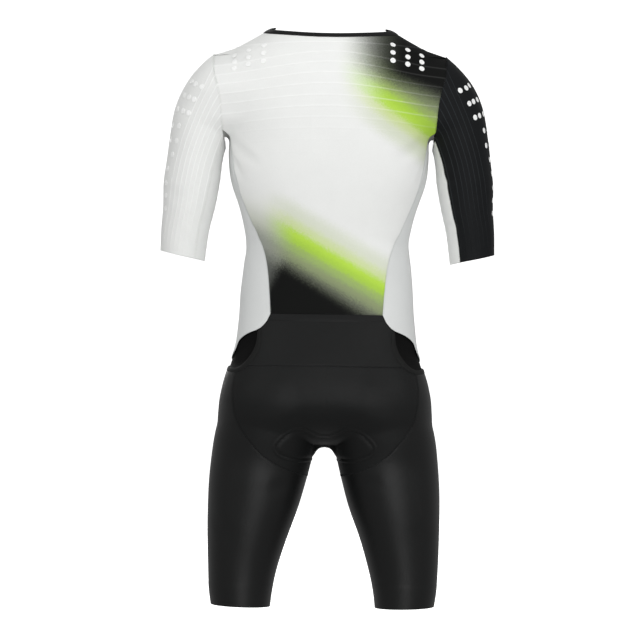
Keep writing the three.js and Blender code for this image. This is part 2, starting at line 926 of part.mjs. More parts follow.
// Both edges of the binding run along the pocket, then the seat, then the leg
const alongMouth = (onPocket, onSeat, end) => {
  const places = (rows) => rows.map(([x, z]) => torsoChart.place(onFace(x, z, 1)));
  const turn = onPocket[onPocket.length - 1];
  const corner = onSeat[onSeat.length - 1];
  return joinPaths([
    [bandShare, pathThrough(places(onPocket))],
    [hipShare - bandShare, pathThrough(places([turn, ...onSeat]))],
    [1 - hipShare, pathThrough([...places([corner]), end])],
  ]);
};
const boundEdge = alongMouth(
  [[112, -501], [114.5, -522], [122, -539], [132, -552]],
  [[140, -558.5], [148, -562]],
  [MOUTH_END[0] + 2, MOUTH_END[1] - 8],
);
const bandEdge = alongMouth(
  [[108, -497], [106.5, -521], [114, -543], [126, -557.5]],
  [[136, -565], [147.5, -569.5]],
  [MOUTH_END[0] + 1, MOUTH_END[1] - 15],
);
const bandPatch = patchBetween(
  (s) => [0, 1].map((k) => lerp(bandEdge(0)[k], boundEdge(0)[k], s)),
  (s) => [0, 1].map((k) => lerp(bandEdge(1)[k], boundEdge(1)[k], s)),
  bandEdge,
  boundEdge,
);
const mouthBinding = clothWall({
  place: (s, t) => torsoChart.point(bandPatch(s, t)),
  across: evenStops(3),
  down: evenStops(BAND_STOPS),
  acrossInside: evenStops(2),
  thickness: CLOTH + 0.4,
  relief: (s) => 0.3 + 0.6 * Math.sin(Math.PI * s),
});
add("pocket_binding_left", mouthBinding, "trim");
add("pocket_binding_right", mirrored(mouthBinding), "trim");

// The seat's top seam runs under the pocket, then under the bound edge, round to the hip
const POCKET_COLUMNS = 10;
const seatColumns = POCKET_COLUMNS + BAND_ON_SEAT;
const pocketBottom = pathThrough([
  torsoChart.place(onFace(0, POCKET_BOTTOM, 1)),
  torsoChart.place(onFace(60, POCKET_BOTTOM - 1, 1)),
  bandEdge(bandShare),
]);
const seatTopLeft = joinPaths([
  [POCKET_COLUMNS / seatColumns, pocketBottom],
  [BAND_ON_SEAT / seatColumns, between(bandEdge, bandShare, hipShare)],
]);
const POCKET_TOP_ROWS = 3;
const pocketRows = POCKET_TOP_ROWS + BAND_ON_POCKET;
const pocketSide = joinPaths([
  [POCKET_TOP_ROWS / pocketRows, pathThrough([sideLower(0), sideLower(0.09), bandEdge(0)])],
  [BAND_ON_POCKET / pocketRows, between(bandEdge, 0, bandShare)],
]);
const mirrorAngle = ([angle, z]) => [180 - angle, z];
const bothSides = (path) => (s) => {
  const place = path(Math.abs(2 * s - 1));
  return s < 0.5 ? place : mirrorAngle(place);
};
const pocketPatch = patchBetween(
  (s) => [lerp(sideLower(0)[0], 180 - sideLower(0)[0], s), POCKET_TOP],
  bothSides(pocketBottom),
  pocketSide,
  (t) => mirrorAngle(pocketSide(t)),
);
const bandRow = POCKET_BAND / (POCKET_TOP - POCKET_BOTTOM);
const pocketStops = [...evenStops(pocketRows), bandRow, bandRow + 0.015].sort((a, b) => a - b);
add(
  "pocket_panel",
  clothWall({
    place: (s, t) => torsoChart.point(pocketPatch(s, t)),
    across: evenStops(2 * POCKET_COLUMNS),
    down: pocketStops,
    downInside: evenStops(pocketRows),
    relief: (s, t) => (t <= bandRow ? POCKET_BAND_RELIEF : 0),
  }),
  "black",
);

// The layer behind the pocket runs a little way under every piece round it
const backingTop = pathThrough([
  [90, POCKET_TOP + UNDERLAP],
  [sideLower(0)[0], POCKET_TOP + UNDERLAP],
  ...[0.12, 0.3, 0.5, 0.66].map((t) => {
    const [angle, z] = sideLower(t);
    return [angle - 1, z + UNDERLAP];
  }),
  [MOUTH_END[0] + 1, MOUTH_END[1] + UNDERLAP],
]);
const backingBottom = pathThrough([
  [90, POCKET_BOTTOM - UNDERLAP],
  ...[0.3, 0.62, 0.8].map((t) => {
    const [angle, z] = seatTopLeft(t);
    return [angle, z - UNDERLAP];
  }),
  [MOUTH_END[0] + 1, MOUTH_END[1] - 15 - UNDERLAP],
]);
const backingEnd = (t) => [0, 1].map((k) => lerp(backingTop(1)[k], backingBottom(1)[k], t));
const backingPatch = patchBetween(
  bothSides(backingTop),
  bothSides(backingBottom),
  backingEnd,
  (t) => mirrorAngle(backingEnd(t)),
);
const backingDepth = (s, t) => {
  const reach = Math.abs(2 * s - 1);
  const hollow = smoothStep(0, 0.4, t) * smoothStep(1, 0.6, t) * smoothStep(0.98, 0.7, reach);
  return CLOTH + LAYER_GAP + 1 + 1.5 * smoothStep(0.5, 0.9, t) + (POCKET_DEPTH - CLOTH) * hollow;
};
add(
  "pocket_backing",
  clothWall({
    place: (s, t) => torsoChart.point(backingPatch(s, t)),
    across: evenStops(24),
    down: evenStops(7),
    acrossInside: evenStops(16),
    downInside: evenStops(5),
    depth: backingDepth,
    thickness: BACKING_THICKNESS,
  }),
  "trim",
);

// Seat panel. Its lower seam runs from the hip round the back of the thigh to the inseam.
const crotchTop = crossing([0, CROTCH_DEPTH, -600], [0, 0, -1]);
const hipCorner = torsoChart.point(bandEdge(hipShare));
const SEAT_SEAM = table(
  ["z", "x"],
  [
    [-595, 151],
    [-622, 149.5],
    [-643, 145.5],
    [-662, 136.5],
    [-684, 120],
    [-704, 101],
    [-721, 74],
    [-733, 45],
  ],
);
const onThighBack = (x, z) => {
  const level = levelOf(LEG, z);
  return crossing([x, (level.back + level.front) / 2, z], [0, 1, 0]);
};
const seatSeam = pathThrough([
  legChart.place(hipCorner, 0),
  ...SEAT_SEAM.map(({ x, z }) => legChart.place(onThighBack(x, z), 90)),
  [180, SEAT_TIP],
]);
const inseamUpper = (t) => [180, lerp(crotchTop[2], SEAT_TIP, t)];
const centreBack = pathThrough(
  [POCKET_BOTTOM, -580, -605, -630, -650, -665, -675, -681].map((z) =>
    legChart.place(onFace(0, z, 1), 90),
  ).concat([[180, crotchTop[2]]]),
);
const hipTop = (s) => legChart.place(torsoChart.point(seatTopLeft(s)), 90);
const seatHalf = patchBetween(hipTop, inseamUpper, centreBack, seatSeam);
function seatPlace(s, t) {
  const half = Math.abs(2 * s - 1);
  const point = legChart.point(seatHalf(half, t));
  if (half < 1e-6) {
    point[0] = 0;
  }
  return s < 0.5 ? point : flip(point);
}
const PAD_LOBE = { x: 38, z: -686, halfWidth: 44, halfHeight: 25 };
const padField = ([x, , z]) =>
  1 - Math.hypot((Math.abs(x) - PAD_LOBE.x) / PAD_LOBE.halfWidth, (z - PAD_LOBE.z) / PAD_LOBE.halfHeight);
const seatStops = evenStops(15).map((t) => t ** 0.85);
const seatStopsInside = seatStops.filter((_, i) => i % 2 === 0 || i >= 9);
add(
  "seat_panel",
  clothWall({
    place: seatPlace,
    across: evenStops(2 * seatColumns),
    down: seatStops,
    downInside: seatStopsInside,
    relief: (s, t, point) => (point[1] > 0 ? PAD_RELIEF * smoothStep(0, 0.2, padField(point)) : 0),
  }),
  "black",
);

// Leg panels: each wraps from the inseam round the outside and the front, back to the inseam
const inseamLower = (t) => [180, lerp(SEAT_TIP, HEM, t)];
const centreFront = pathThrough(
  [WAIST_FRONT, -580, -610, -635, -655, -668, -676, -682]
    .map((z) => legChart.place(onFace(0, z, -1), -120))
    .concat([[-180, crotchTop[2]]]),
);
const frontInner = joinPaths([
  [0.4, centreFront],
  [0.6, (t) => [-180, lerp(crotchTop[2], HEM, t)]],
]);
const waistSeamOnLeg = pathThrough([
  torsoChart.point(bandEdge(1)),
  torsoChart.point([MOUTH_END[0] - 8, MOUTH_END[1] - 7]),
  ...[0, 0.3, 0.6, 1].map((t) => torsoChart.point(waistSeam(t))),
].map((point) => legChart.place(point, -40)));
const bandOnLeg = (t) => legChart.place(torsoChart.point(bandEdge(lerp(hipShare, 1, t))), 0);
const LEG_TOP = { seat: 0.55, band: 0.07, front: 0.38 };
const legTop = joinPaths([
  [LEG_TOP.seat, reversed(seatSeam)],
  [LEG_TOP.band, bandOnLeg],
  [LEG_TOP.front, waistSeamOnLeg],
]);
const legStops = (seatSide, frontCount) => [
  ...[...seatSide].reverse().map((t) => LEG_TOP.seat * (1 - t)),
  LEG_TOP.seat + LEG_TOP.band / 2,
  ...evenStops(frontCount).map((t) => 1 - LEG_TOP.front * (1 - t)),
];
const legHem = (s) => [lerp(180, -180, s), HEM + 1.5 * Math.cos(lerp(180, -180, s) * DEGREE)];
const legPatch = patchBetween(legTop, legHem, inseamLower, frontInner);
const leg = clothWall({
  place: (s, t) => legChart.point(legPatch(s, t)),
  across: legStops(seatStops, 10),
  down: evenStops(15),
  acrossInside: legStops(seatStopsInside, 9),
  downInside: evenStops(11),
  gaps: { ...SEAM_ALL_ROUND, bottom: 0 },
});
add("leg_left", leg, "black");
add("leg_right", mirrored(leg), "black");

// Pad inside the seat, made from the seat's own points moved in
const NO_GAPS = { left: 0, right: 0, top: 0, bottom: 0 };
const PAD_AREA = { reach: 9 / 24, top: 0.74, bottom: 0.975 };
const padPlace = (s, t) =>
  seatPlace(0.5 + (s - 0.5) * PAD_AREA.reach * 2, lerp(PAD_AREA.top, PAD_AREA.bottom, t));
add(
  "seat_pad",
  clothWall({
    place: padPlace,
    across: evenStops(18),
    acrossInside: evenStops(12),
    down: evenStops(6),
    downInside: evenStops(4),
    depth: () => CLOTH + LAYER_GAP + 1.3,
    thickness: (s, t) => {
      const bulk = Math.sqrt(Math.sin(Math.PI * s) * Math.sin(Math.PI * t));
      return lerp(PAD_EDGE, PAD_THICKNESS, bulk);
    },
    gaps: NO_GAPS,
  }),
  "grey",
);

// Neck binding, open only where the zip runs up through it
const neckFrontStops = evenStops(11).map((t) => neckFront(t)[0]);
const neckAngles = [
  ...[...neckFrontStops].reverse(),
  ...evenStops(BACK_COLUMNS).slice(1).map((s) => lerp(SHOULDER_ANGLE, 180 - SHOULDER_ANGLE, s)),
  ...neckFrontStops.slice(1).map((angle) => 180 - angle),
];
const neckStops = evenStops(neckAngles.length - 1);
const seamHeight = (angle) => {
  const folded = angle > 90 ? 180 - angle : angle;
  if (folded < SHOULDER_ANGLE) {
    return neckFront((SHOULDER_ANGLE - folded) / (SHOULDER_ANGLE - neckFront(1)[0]))[1];
  }
  const across = (folded - SHOULDER_ANGLE) / (180 - 2 * SHOULDER_ANGLE);
  return lerp(NECK_BACK, NECK_CORNER[1], backArch(across));
};
add(
  "neck_binding",
  clothWall({
    place: (s, t) => {
      const angle = neckAngles[Math.round(s * (neckAngles.length - 1))];
      return torsoChart.point([angle, seamHeight(angle) + (1 - t) * BINDING_RISE]);
    },
    across: neckStops,
    down: evenStops(2),
    downInside: [0, 1],
    thickness: CLOTH + 0.7,
    relief: (s, t) => 0.2 + 0.7 * Math.sin(Math.PI * t),
    gaps: { ...NO_GAPS, bottom: BINDING_GAP },
  }),
  "trim",
);

// Zip: tape, teeth, slider and pull tab
const frontStrip = (halfWidth, top, bottom) => (s, t) =>
  onFace(lerp(-halfWidth, halfWidth, s), lerp(top, bottom, t), -1);
const zipTop = zipEdge(0)[1];
add(
  "zip_tape",
  clothWall({
    place: frontStrip(TAPE_HALF_WIDTH, zipTop - 1, ZIP_END - 8),
    across: evenStops(2),
    down: evenStops(10),
    depth: () => CLOTH + LAYER_GAP,
    thickness: 1,
    gaps: NO_GAPS,
  }),
  "trim",
);
add(
  "zip_teeth",
  clothWall({
    place: frontStrip(TEETH_HALF_WIDTH, zipTop + 5, ZIP_END),
    across: evenStops(2),
    down: evenStops(10),
    relief: (s) => 0.3 * Math.sin(Math.PI * s),
    thickness: CLOTH,
    gaps: NO_GAPS,
  }),
  "trim",
);

const wasm = await Module();
wasm.setup();
const { Manifold } = wasm;

// A box from two corners, in the slider's own frame: across, down the zip, and out from it
function block(low, high) {
  const size = high.map((value, k) => value - low[k]);
  return Manifold.cube(size).translate(low);
}
function placed(solid, frame) {
  const mesh = solid.getMesh();
  const geometry = new THREE.BufferGeometry();
  geometry.setAttribute("position", new THREE.BufferAttribute(mesh.vertProperties.slice(), 3));
  geometry.setIndex(Array.from(mesh.triVerts));
  geometry.applyMatrix4(frame);
  geometry.computeVertexNormals();
  return geometry;
}
const SLIDER = { halfWidth: 4.3, halfLength: 7, low: 0.8, high: 2.4 };
const LIP = { inner: 3.3, halfLength: 5, low: -0.9 };
const BAIL = { halfWidth: 1.1, inner: 1.4, outer: 2.7, roof: 4.9, top: 6.1 };
const PULL = { halfWidth: 3.3, halfThickness: 0.7, bar: 0.75, length: 25 };
const WINDOW = { halfWidth: 1.8, end: 5, halfThickness: 2 };
const PIVOT_OUT = 3.65;
const METAL_ROUGHNESS = 0.4;
const sliderSeat = onFace(0, SLIDER_TOP - SLIDER.halfLength, -1);
const out = vector(normalAt(sliderSeat)).setX(0).normalize();
const acrossZip = new THREE.Vector3(-1, 0, 0);
const downZip = out.clone().cross(acrossZip);
const sliderFrame = new THREE.Matrix4().makeBasis(acrossZip, downZip, out).setPosition(...sliderSeat);

const sliderSolid = Manifold.union([
  block(
    [-SLIDER.halfWidth, -SLIDER.halfLength, SLIDER.low],
    [SLIDER.halfWidth, SLIDER.halfLength, SLIDER.high],
  ),
  block([-SLIDER.halfWidth, -LIP.halfLength, LIP.low], [-LIP.inner, LIP.halfLength, SLIDER.high]),
  block([LIP.inner, -LIP.halfLength, LIP.low], [SLIDER.halfWidth, LIP.halfLength, SLIDER.high]),
  block([-BAIL.halfWidth, -BAIL.outer, SLIDER.low], [BAIL.halfWidth, -BAIL.inner, BAIL.top]),
  block([-BAIL.halfWidth, BAIL.inner, SLIDER.low], [BAIL.halfWidth, BAIL.outer, BAIL.top]),
  block([-BAIL.halfWidth, -BAIL.outer, BAIL.roof], [BAIL.halfWidth, BAIL.outer, BAIL.top]),
]);
add("zip_slider", placed(sliderSolid, sliderFrame), "metal", METAL_ROUGHNESS);

const pullSolid = block(
  [-PULL.halfWidth, -PULL.bar, PIVOT_OUT - PULL.halfThickness],
  [PULL.halfWidth, PULL.length, PIVOT_OUT + PULL.halfThickness],
).subtract(
  block(
    [-WINDOW.halfWidth, PULL.bar, PIVOT_OUT - WINDOW.halfThickness],
    [WINDOW.halfWidth, WINDOW.end, PIVOT_OUT + WINDOW.halfThickness],
  ),
);
add("zip_pull", placed(pullSolid, sliderFrame), "metal", METAL_ROUGHNESS);

export default group;
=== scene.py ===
"""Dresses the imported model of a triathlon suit, filled out as if worn, with nobody in it.

The front faces -Y, the back +Y and +Z is up. The wearer's left is +X. The pattern of the
panels is worked out in millimetres and the meshes are made in metres.
"""

from __future__ import annotations

import logging
import math
from collections.abc import Callable, Sequence
from dataclasses import dataclass, field
from enum import Enum

import bmesh
import bpy
import numpy as np
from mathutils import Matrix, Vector


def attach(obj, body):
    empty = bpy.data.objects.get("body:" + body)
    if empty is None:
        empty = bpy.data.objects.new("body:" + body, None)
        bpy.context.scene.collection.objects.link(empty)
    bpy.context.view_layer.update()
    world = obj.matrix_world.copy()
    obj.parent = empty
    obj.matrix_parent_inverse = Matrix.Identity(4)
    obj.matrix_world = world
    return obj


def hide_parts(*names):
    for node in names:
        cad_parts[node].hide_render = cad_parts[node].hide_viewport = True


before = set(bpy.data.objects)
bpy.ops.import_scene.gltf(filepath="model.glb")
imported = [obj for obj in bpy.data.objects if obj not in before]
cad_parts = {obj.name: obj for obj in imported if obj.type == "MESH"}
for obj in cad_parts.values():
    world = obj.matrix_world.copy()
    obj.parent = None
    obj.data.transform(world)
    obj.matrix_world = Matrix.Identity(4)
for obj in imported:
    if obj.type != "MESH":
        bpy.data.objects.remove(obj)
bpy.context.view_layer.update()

log = logging.getLogger("suit")

Array = np.ndarray
Route = Callable[[Array], Array]
Patch = Callable[[Array, Array], Array]
Relief = Callable[[Array, Array, Array], Array]
Socket = bpy.types.NodeSocket
NodeTree = bpy.types.NodeTree
Material = bpy.types.Material
Piece = bpy.types.Object

MM = 0.001
DEGREE = math.pi / 180
START, END = np.array(0.0), np.array(1.0)


class Side(Enum):
    """The wearer's side, with the sign of its X."""

    LEFT = 1
    RIGHT = -1


# Small sums


def smooth_step(start: float, end: float, x: Array) -> Array:
    """Rises from 0 at start to 1 at end, level at both. Start may be above end."""
    t = np.clip((x - start) / (end - start), 0.0, 1.0)
    return t * t * (3 - 2 * t)


def lerp(a: Array, b: Array, t: Array) -> Array:
    """The value a share t of the way from a to b."""
    return a + (b - a) * t


def soft_min(a: Array, b: Array, blend: Array) -> Array:
    """The lower of two fields, with the crease between them filled over the blend."""
    overlap = np.maximum(blend - np.abs(a - b), 0.0) / blend
    return np.minimum(a, b) - overlap * overlap * blend / 4


def unit(vectors: Array) -> Array:
    """The vectors at length 1."""
    return vectors / np.maximum(np.linalg.norm(vectors, axis=-1, keepdims=True), 1e-12)


def hump(t: Array) -> Array:
    """0 at both ends of 0 to 1, and 1 in the middle."""
    return np.sin(np.pi * np.clip(t, 0.0, 1.0))


def narrow(low: Array, high: Array, rounds: int, holds: Callable[[Array], Array]) -> Array:
    """Halves the step in which a test stops holding, and gives the step's upper end."""
    for _ in range(rounds):
        middle = (low + high) / 2
        held = holds(middle)
        low = np.where(held, middle, low)
        high = np.where(held, high, middle)
    return high


# The form


@dataclass
class Levels:
    """A table of levels of a tube, read at any height along a smooth curve.

    Attributes:
        rows: One row a level, from the top down: its height, then its other values.
    """

    rows: Sequence[Sequence[float]]
    heights: Array = field(init=False)
    values: Array = field(init=False)

    def __post_init__(self) -> None:
        """Works the curve out once, from the bottom up."""
        table = np.array(self.rows, float)[::-1]
        z, values = table[:, 0], table[:, 1:]
        pace = np.diff(values, axis=0) / np.diff(z)[:, None]
        slope = np.vstack([pace[:1], (pace[1:] + pace[:-1]) / 2, pace[-1:]])
        self.heights = np.append(np.arange(z[0], z[-1], 0.25), z[-1])
        i = np.clip(np.searchsorted(z, self.heights, side="right") - 1, 0, len(z) - 2)
        step = (z[i + 1] - z[i])[:, None]
        t = (self.heights - z[i])[:, None] / step
        self.values = (
            (2 * t**3 - 3 * t**2 + 1) * values[i]
            + (t**3 - 2 * t**2 + t) * step * slope[i]
            + (3 * t**2 - 2 * t**3) * values[i + 1]
            + (t**3 - t**2) * step * slope[i + 1]
        )

    @property
    def top(self) -> float:
        """The highest level."""
        return self.rows[0][0]

    @property
    def bottom(self) -> float:
        """The lowest level."""
        return self.rows[-1][0]

    def at(self, z: Array) -> list[Array]:
        """The values at the given heights, one array a column."""
        return [np.interp(z, self.heights, column) for column in self.values.T]


# Height, half width, how far the back and the front stand from the middle, and squareness
TORSO = Levels((
    (60, 62, 36, -62, 2.0), (12, 76, 50, -66, 2.0), (4, 88, 54, -68, 2.0),
    (-2, 99, 57, -69, 2.0), (-20, 129, 66, -74, 2.0), (-40, 163, 76, -80, 2.05),
    (-50, 176, 80, -83, 2.1), (-65, 183, 85, -87, 2.2), (-90, 183, 92, -95, 2.35),
    (-120, 178, 97, -105, 2.45), (-155, 171, 99, -113, 2.5), (-190, 166, 98, -117, 2.5),
    (-218, 164.5, 96, -117, 2.5), (-257, 160, 91, -114, 2.5), (-297, 147, 84, -109, 2.4),
    (-327, 139, 78, -105, 2.35), (-356, 134.5, 74, -102, 2.3), (-396, 138.5, 74, -100, 2.3),
    (-436, 142.3, 79, -99, 2.3), (-475, 144.5, 88, -98, 2.3), (-515, 148.5, 98, -97, 2.3),
    (-554, 155, 107, -94, 2.35), (-594, 161, 112, -89, 2.4), (-625, 160, 108, -82, 2.4),
    (-650, 146, 92, -70, 2.3), (-668, 112, 66, -54, 2.2), (-680, 66, 38, -34, 2.1),
    (-687, 22, 12, -12, 2.0),
))
# Height, how far the tube's middle is from the body's, half width, back and front
LEG = Levels((
    (-520, 82, 30, 40, -40), (-560, 85, 58, 74, -66), (-594, 88, 72, 94, -78),
    (-634, 92, 80, 98, -84), (-673, 97.5, 84, 90, -86), (-713, 104, 83, 80, -86),
    (-752, 110.5, 80, 76, -84), (-792, 116.7, 74.7, 72, -80), (-851, 127.4, 64, 64, -72),
    (-891, 132.4, 57.4, 59, -66), (-930, 135.3, 52, 55, -61), (-975, 134.5, 46, 51, -56),
))
ARM = Levels((
    (-46, 184, 6, 6, -10), (-52, 184, 14, 18, -22), (-60, 185, 23, 30, -34),
    (-79, 187, 39, 45, -48), (-99, 191, 48.5, 53, -56), (-119, 197, 52, 56, -59),
    (-139, 203, 52.5, 57, -60), (-178, 213, 49, 55, -59), (-218, 221, 46, 51, -57),
    (-257, 225.6, 46.5, 48, -55), (-297, 229, 43, 44, -52), (-337, 235, 39.5, 40, -49),
    (-376, 238.5, 37.5, 37, -47), (-400, 240, 36.5, 36, -46),
))


def oval(dx: Array, dy: Array, half_x: Array, half_y: Array, power: Array | float) -> Array:
    """How far a place is outside an oval, along the line from the oval's middle."""
    reach = (np.abs(dx / half_x) ** power + np.abs(dy / half_y) ** power) ** (1 / power)
    inside = -np.minimum(half_x, half_y)
    return np.where(reach < 1e-6, inside, np.hypot(dx, dy) * (1 - 1 / np.maximum(reach, 1e-6)))


@dataclass(frozen=True)
class Form:
    """The filled-out shape that the outer face of the cloth follows, in millimetres.

    Attributes:
        crotch_blend: How softly the two legs run into each other.
        hip_blend: How much more softly the legs run into the body at the hips.
        armpit_blend: How softly the sleeve runs into the body at the armpit.
        shoulder_blend: How much more softly it does at the shoulder.
        blade_blend: How much more softly it does over the shoulder blade.
    """

    crotch_blend: float = 24
    hip_blend: float = 16
    armpit_blend: float = 8
    shoulder_blend: float = 26
    blade_blend: float = 62

    def levels(self, z: Array) -> Array:
        """The levels of the body, arm and leg at the given heights, stacked."""
        return np.array([*TORSO.at(z), *ARM.at(z), *LEG.at(z)])

    def field(self, x: Array, y: Array, z: Array, levels: Array | None = None) -> Array:
        """Below zero inside the form and zero on the cloth's outer face."""
        if levels is None:
            levels = self.levels(z)
        half, back, front, power, am, aw, ab, af, lm, lw, lb, lf = levels
        torso = oval(x, y - (back + front) / 2, half, (back - front) / 2, power)
        torso = np.maximum(torso, TORSO.bottom - z)
        arm = oval(np.abs(x) - am, y - (ab + af) / 2, aw, (ab - af) / 2, 2.0)
        arm = np.maximum(np.maximum(arm, (z - ARM.top) * 2), ARM.bottom - z)
        blade = smooth_step(-196, -150, z) * smooth_step(-44, -115, z)
        blade = blade * smooth_step(4, 40, np.abs(y + 3))
        shoulder = self.shoulder_blend * smooth_step(-150, -60, z)
        body = soft_min(torso, arm, self.armpit_blend + shoulder + self.blade_blend * blade)
        left, right = (
            oval(x - side.value * lm, y - (lb + lf) / 2, lw, (lb - lf) / 2, 2.1) for side in Side
        )
        legs = soft_min(
            np.maximum(left, z - LEG.top), np.maximum(right, z - LEG.top), self.crotch_blend
        )
        blend = self.crotch_blend + self.hip_blend * smooth_step(30, 80, np.abs(x))
        return soft_min(body, legs, blend)

    def crossing(self, x: Array, y: Array, z: Array, dx: Array, dy: Array) -> Array:
        """Where level rays that start inside first leave the form.

        Args:
            x: The X that each ray starts at.
            y: The Y that it starts at.
            z: Its height.
            dx: How far it runs to +X for each millimetre.
            dy: How far it runs to +Y.

        Returns:
            The points, in the shape of the places with a last axis of three.
        """
        x, y, z, dx, dy = np.broadcast_arrays(*(np.asarray(v, float) for v in (x, y, z, dx, dy)))
        shape = z.shape
        x, y, z, dx, dy = (v.ravel() for v in (x, y, z, dx, dy))
        levels = self.levels(z)
        step, limit = 5.0, 420.0
        high = np.full(z.shape, step)
        active = np.arange(z.size)
        while active.size:
            value = self.field(
                x[active] + dx[active] * high[active],
                y[active] + dy[active] * high[active],
                z[active],
                levels[:, active],
            )
            active = active[(value < 0) & (high[active] < limit)]
            high[active] += step
        high = narrow(
            high - step, high, 18, lambda far: self.field(x + dx * far, y + dy * far, z, levels) < 0
        )
        return np.stack([x + dx * high, y + dy * high, z], axis=-1).reshape(*shape, 3)

    def normals(self, points: Array) -> Array:
        """The outward direction at points of the form's face."""
        at = lambda step: self.field(*np.moveaxis(points + step, -1, 0))
        slopes = [at(step) - at(-step) for step in 0.8 * np.eye(3)]
        return unit(np.stack(slopes, axis=-1))


FORM = Form()


@dataclass(frozen=True)
class Chart:
    """Turns an angle and a height into a point of the form, by a level ray from an axis.

    Angle 0 points outward to +X and 90 to the back.

    Attributes:
        levels: The tube that the axis runs down.
        off_middle: Whether the tube's first column is the place of its axis.
        one_sided: Whether the chart stops at the body's middle plane.
    """

    levels: Levels
    off_middle: bool = False
    one_sided: bool = False

    def axis(self, z: Array) -> tuple[Array, Array]:
        """The X and Y of the axis at the given heights."""
        values = self.levels.at(z)
        if self.off_middle:
            return values[0], (values[2] + values[3]) / 2
        return np.zeros_like(values[0]), (values[1] + values[2]) / 2

    def point(self, places: Array) -> Array:
        """The points of the form at the given angles and heights."""
        angle, z = places[..., 0] * DEGREE, places[..., 1]
        x, y = self.axis(z)
        dx, dy = np.cos(angle), np.sin(angle)
        points = FORM.crossing(x, y, z, dx, dy)
        if self.one_sided:
            reach = x / np.maximum(-dx, 1e-9)
            middle = np.stack([np.zeros_like(x), y + dy * reach, z], axis=-1)
            points = np.where((points[..., :1] < 0) & (dx[..., None] < 0), middle, points)
        return points

    def surface(self, patch: Patch) -> Patch:
        """The points of a patch of this chart, as a function of s and t."""
        return lambda s, t: self.point(patch(s, t))

    def place(self, points: Array, turn: float = 0.0) -> Array:
        """The angles and heights of the given points, within half a turn of turn."""
        points = np.asarray(points, float)
        x, y = self.axis(points[..., 2])
        angle = np.arctan2(points[..., 1] - y, points[..., 0] - x) / DEGREE
        angle = np.where(angle < turn - 180, angle + 360, angle)
        angle = np.where(angle > turn + 180, angle - 360, angle)
        return np.stack([angle, points[..., 2]], axis=-1)


BODY_CHART = Chart(TORSO)
LEG_CHART = Chart(LEG, off_middle=True, one_sided=True)
ARM_CHART = Chart(ARM, off_middle=True)


def on_face(x: Array, z: Array, side: int) -> Array:
    """The point of the form straight behind (side 1) or before (side -1) a place."""
    x, z = np.broadcast_arrays(np.asarray(x, float), np.asarray(z, float))
    _, back, front, _ = TORSO.at(z)
    return FORM.crossing(x, (back + front) / 2, z, 0.0, float(side))


def back_places(rows: Sequence[tuple[float, float]]) -> list[Array]:
    """The places in the body's chart of points of the back, given by X and Z."""
    return [BODY_CHART.place(on_face(x, z, 1)) for x, z in rows]


# Lines and patches


def path_through(places: Sequence[Sequence[float]]) -> Route:
    """A smooth path through a few places, run at an even pace.

    Args:
        places: The places, in any number of values each.

    Returns:
        A function from shares of the way, 0 to 1, to places.
    """
    points = np.array([list(place) for place in places], float)
    ends = np.vstack([2 * points[0] - points[1], points, 2 * points[-1] - points[-2]])
    t = np.linspace(0, 1, 64, endpoint=False)[:, None]
    stretches = []
    for a, b, c, d in zip(ends, ends[1:], ends[2:], ends[3:]):
        before, here, after = (
            max(math.sqrt(np.linalg.norm(q - p)), 1e-4) for p, q in ((a, b), (b, c), (c, d))
        )
        into = ((b - a) / before - (c - a) / (before + here) + (c - b) / here) * here
        out = ((c - b) / here - (d - b) / (here + after) + (d - c) / after) * here
        bend = 3 * (c - b) - 2 * into - out
        stretches.append(b + into * t + bend * t**2 + (2 * (b - c) + into + out) * t**3)
    line = np.vstack([*stretches, points[-1:]])
    reach = np.append(0, np.cumsum(np.linalg.norm(np.diff(line, axis=0), axis=1)))
    pace = reach / reach[-1]
    return lambda share: np.stack([np.interp(share, pace, c) for c in line.T], axis=-1)


def join_routes(shares: Sequence[float], *stretches: Route) -> Route:
    """Several stretches run one after the other, each over its share of 0 to 1."""

    def route(share: Array) -> Array:
        start = shares[0]
        places = stretches[0](np.clip(share / start, 0, 1))
        for part, stretch in zip(shares[1:], stretches[1:]):
            later = stretch(np.clip((share - start) / part, 0, 1))
            places = np.where((share > start + 1e-9)[..., None], later, places)
            start += part
        return places

    return route


def pair(angle: Array, z: Array) -> Array:
    """Places of a chart from their angles and heights."""
    return np.stack(np.broadcast_arrays(angle, z), axis=-1)


def between(route: Route, start: float, end: float) -> Route:
    """The stretch of a route from one share of it to another."""
    return lambda share: route(lerp(start, end, share))


def straight(start: Sequence[float], end: Sequence[float]) -> Route:
    """The straight route between two places."""
    a, b = np.array(start, float), np.array(end, float)
    return lambda share: a + (b - a) * share[..., None]


def patch_between(top: Route, bottom: Route, left: Route, right: Route) -> Patch:
    """A patch of a chart between four edges.

    Args:
        top: The edge at t 0, from s 0 to 1.
        bottom: The edge at t 1, from s 0 to 1.
        left: The edge at s 0, from t 0 to 1.
        right: The edge at s 1, from t 0 to 1.

    Returns:
        A function from arrays of s and t to angles and heights.
    """
    corners = [top(START), top(END), bottom(START), bottom(END)]

    def patch(s: Array, t: Array) -> Array:
        a, b = s[..., None], t[..., None]
        edges = (1 - b) * top(s) + b * bottom(s) + (1 - a) * left(t) + a * right(t)
        upper = (1 - a) * (1 - b) * corners[0] + a * (1 - b) * corners[1]
        return edges - upper - ((1 - a) * b * corners[2] + a * b * corners[3])

    return patch


def mirror_angle(places: Array) -> Array:
    """The same places on the other side of the body."""
    return pair(180 - places[..., 0], places[..., 1])


def both_sides(half: Route) -> Route:
    """A route from the left end of a half route to its start, and out again on the right."""

    def route(share: Array) -> Array:
        places = half(np.abs(2 * share - 1))
        return np.where((share < 0.5)[..., None], places, mirror_angle(places))

    return route


# The paper pattern


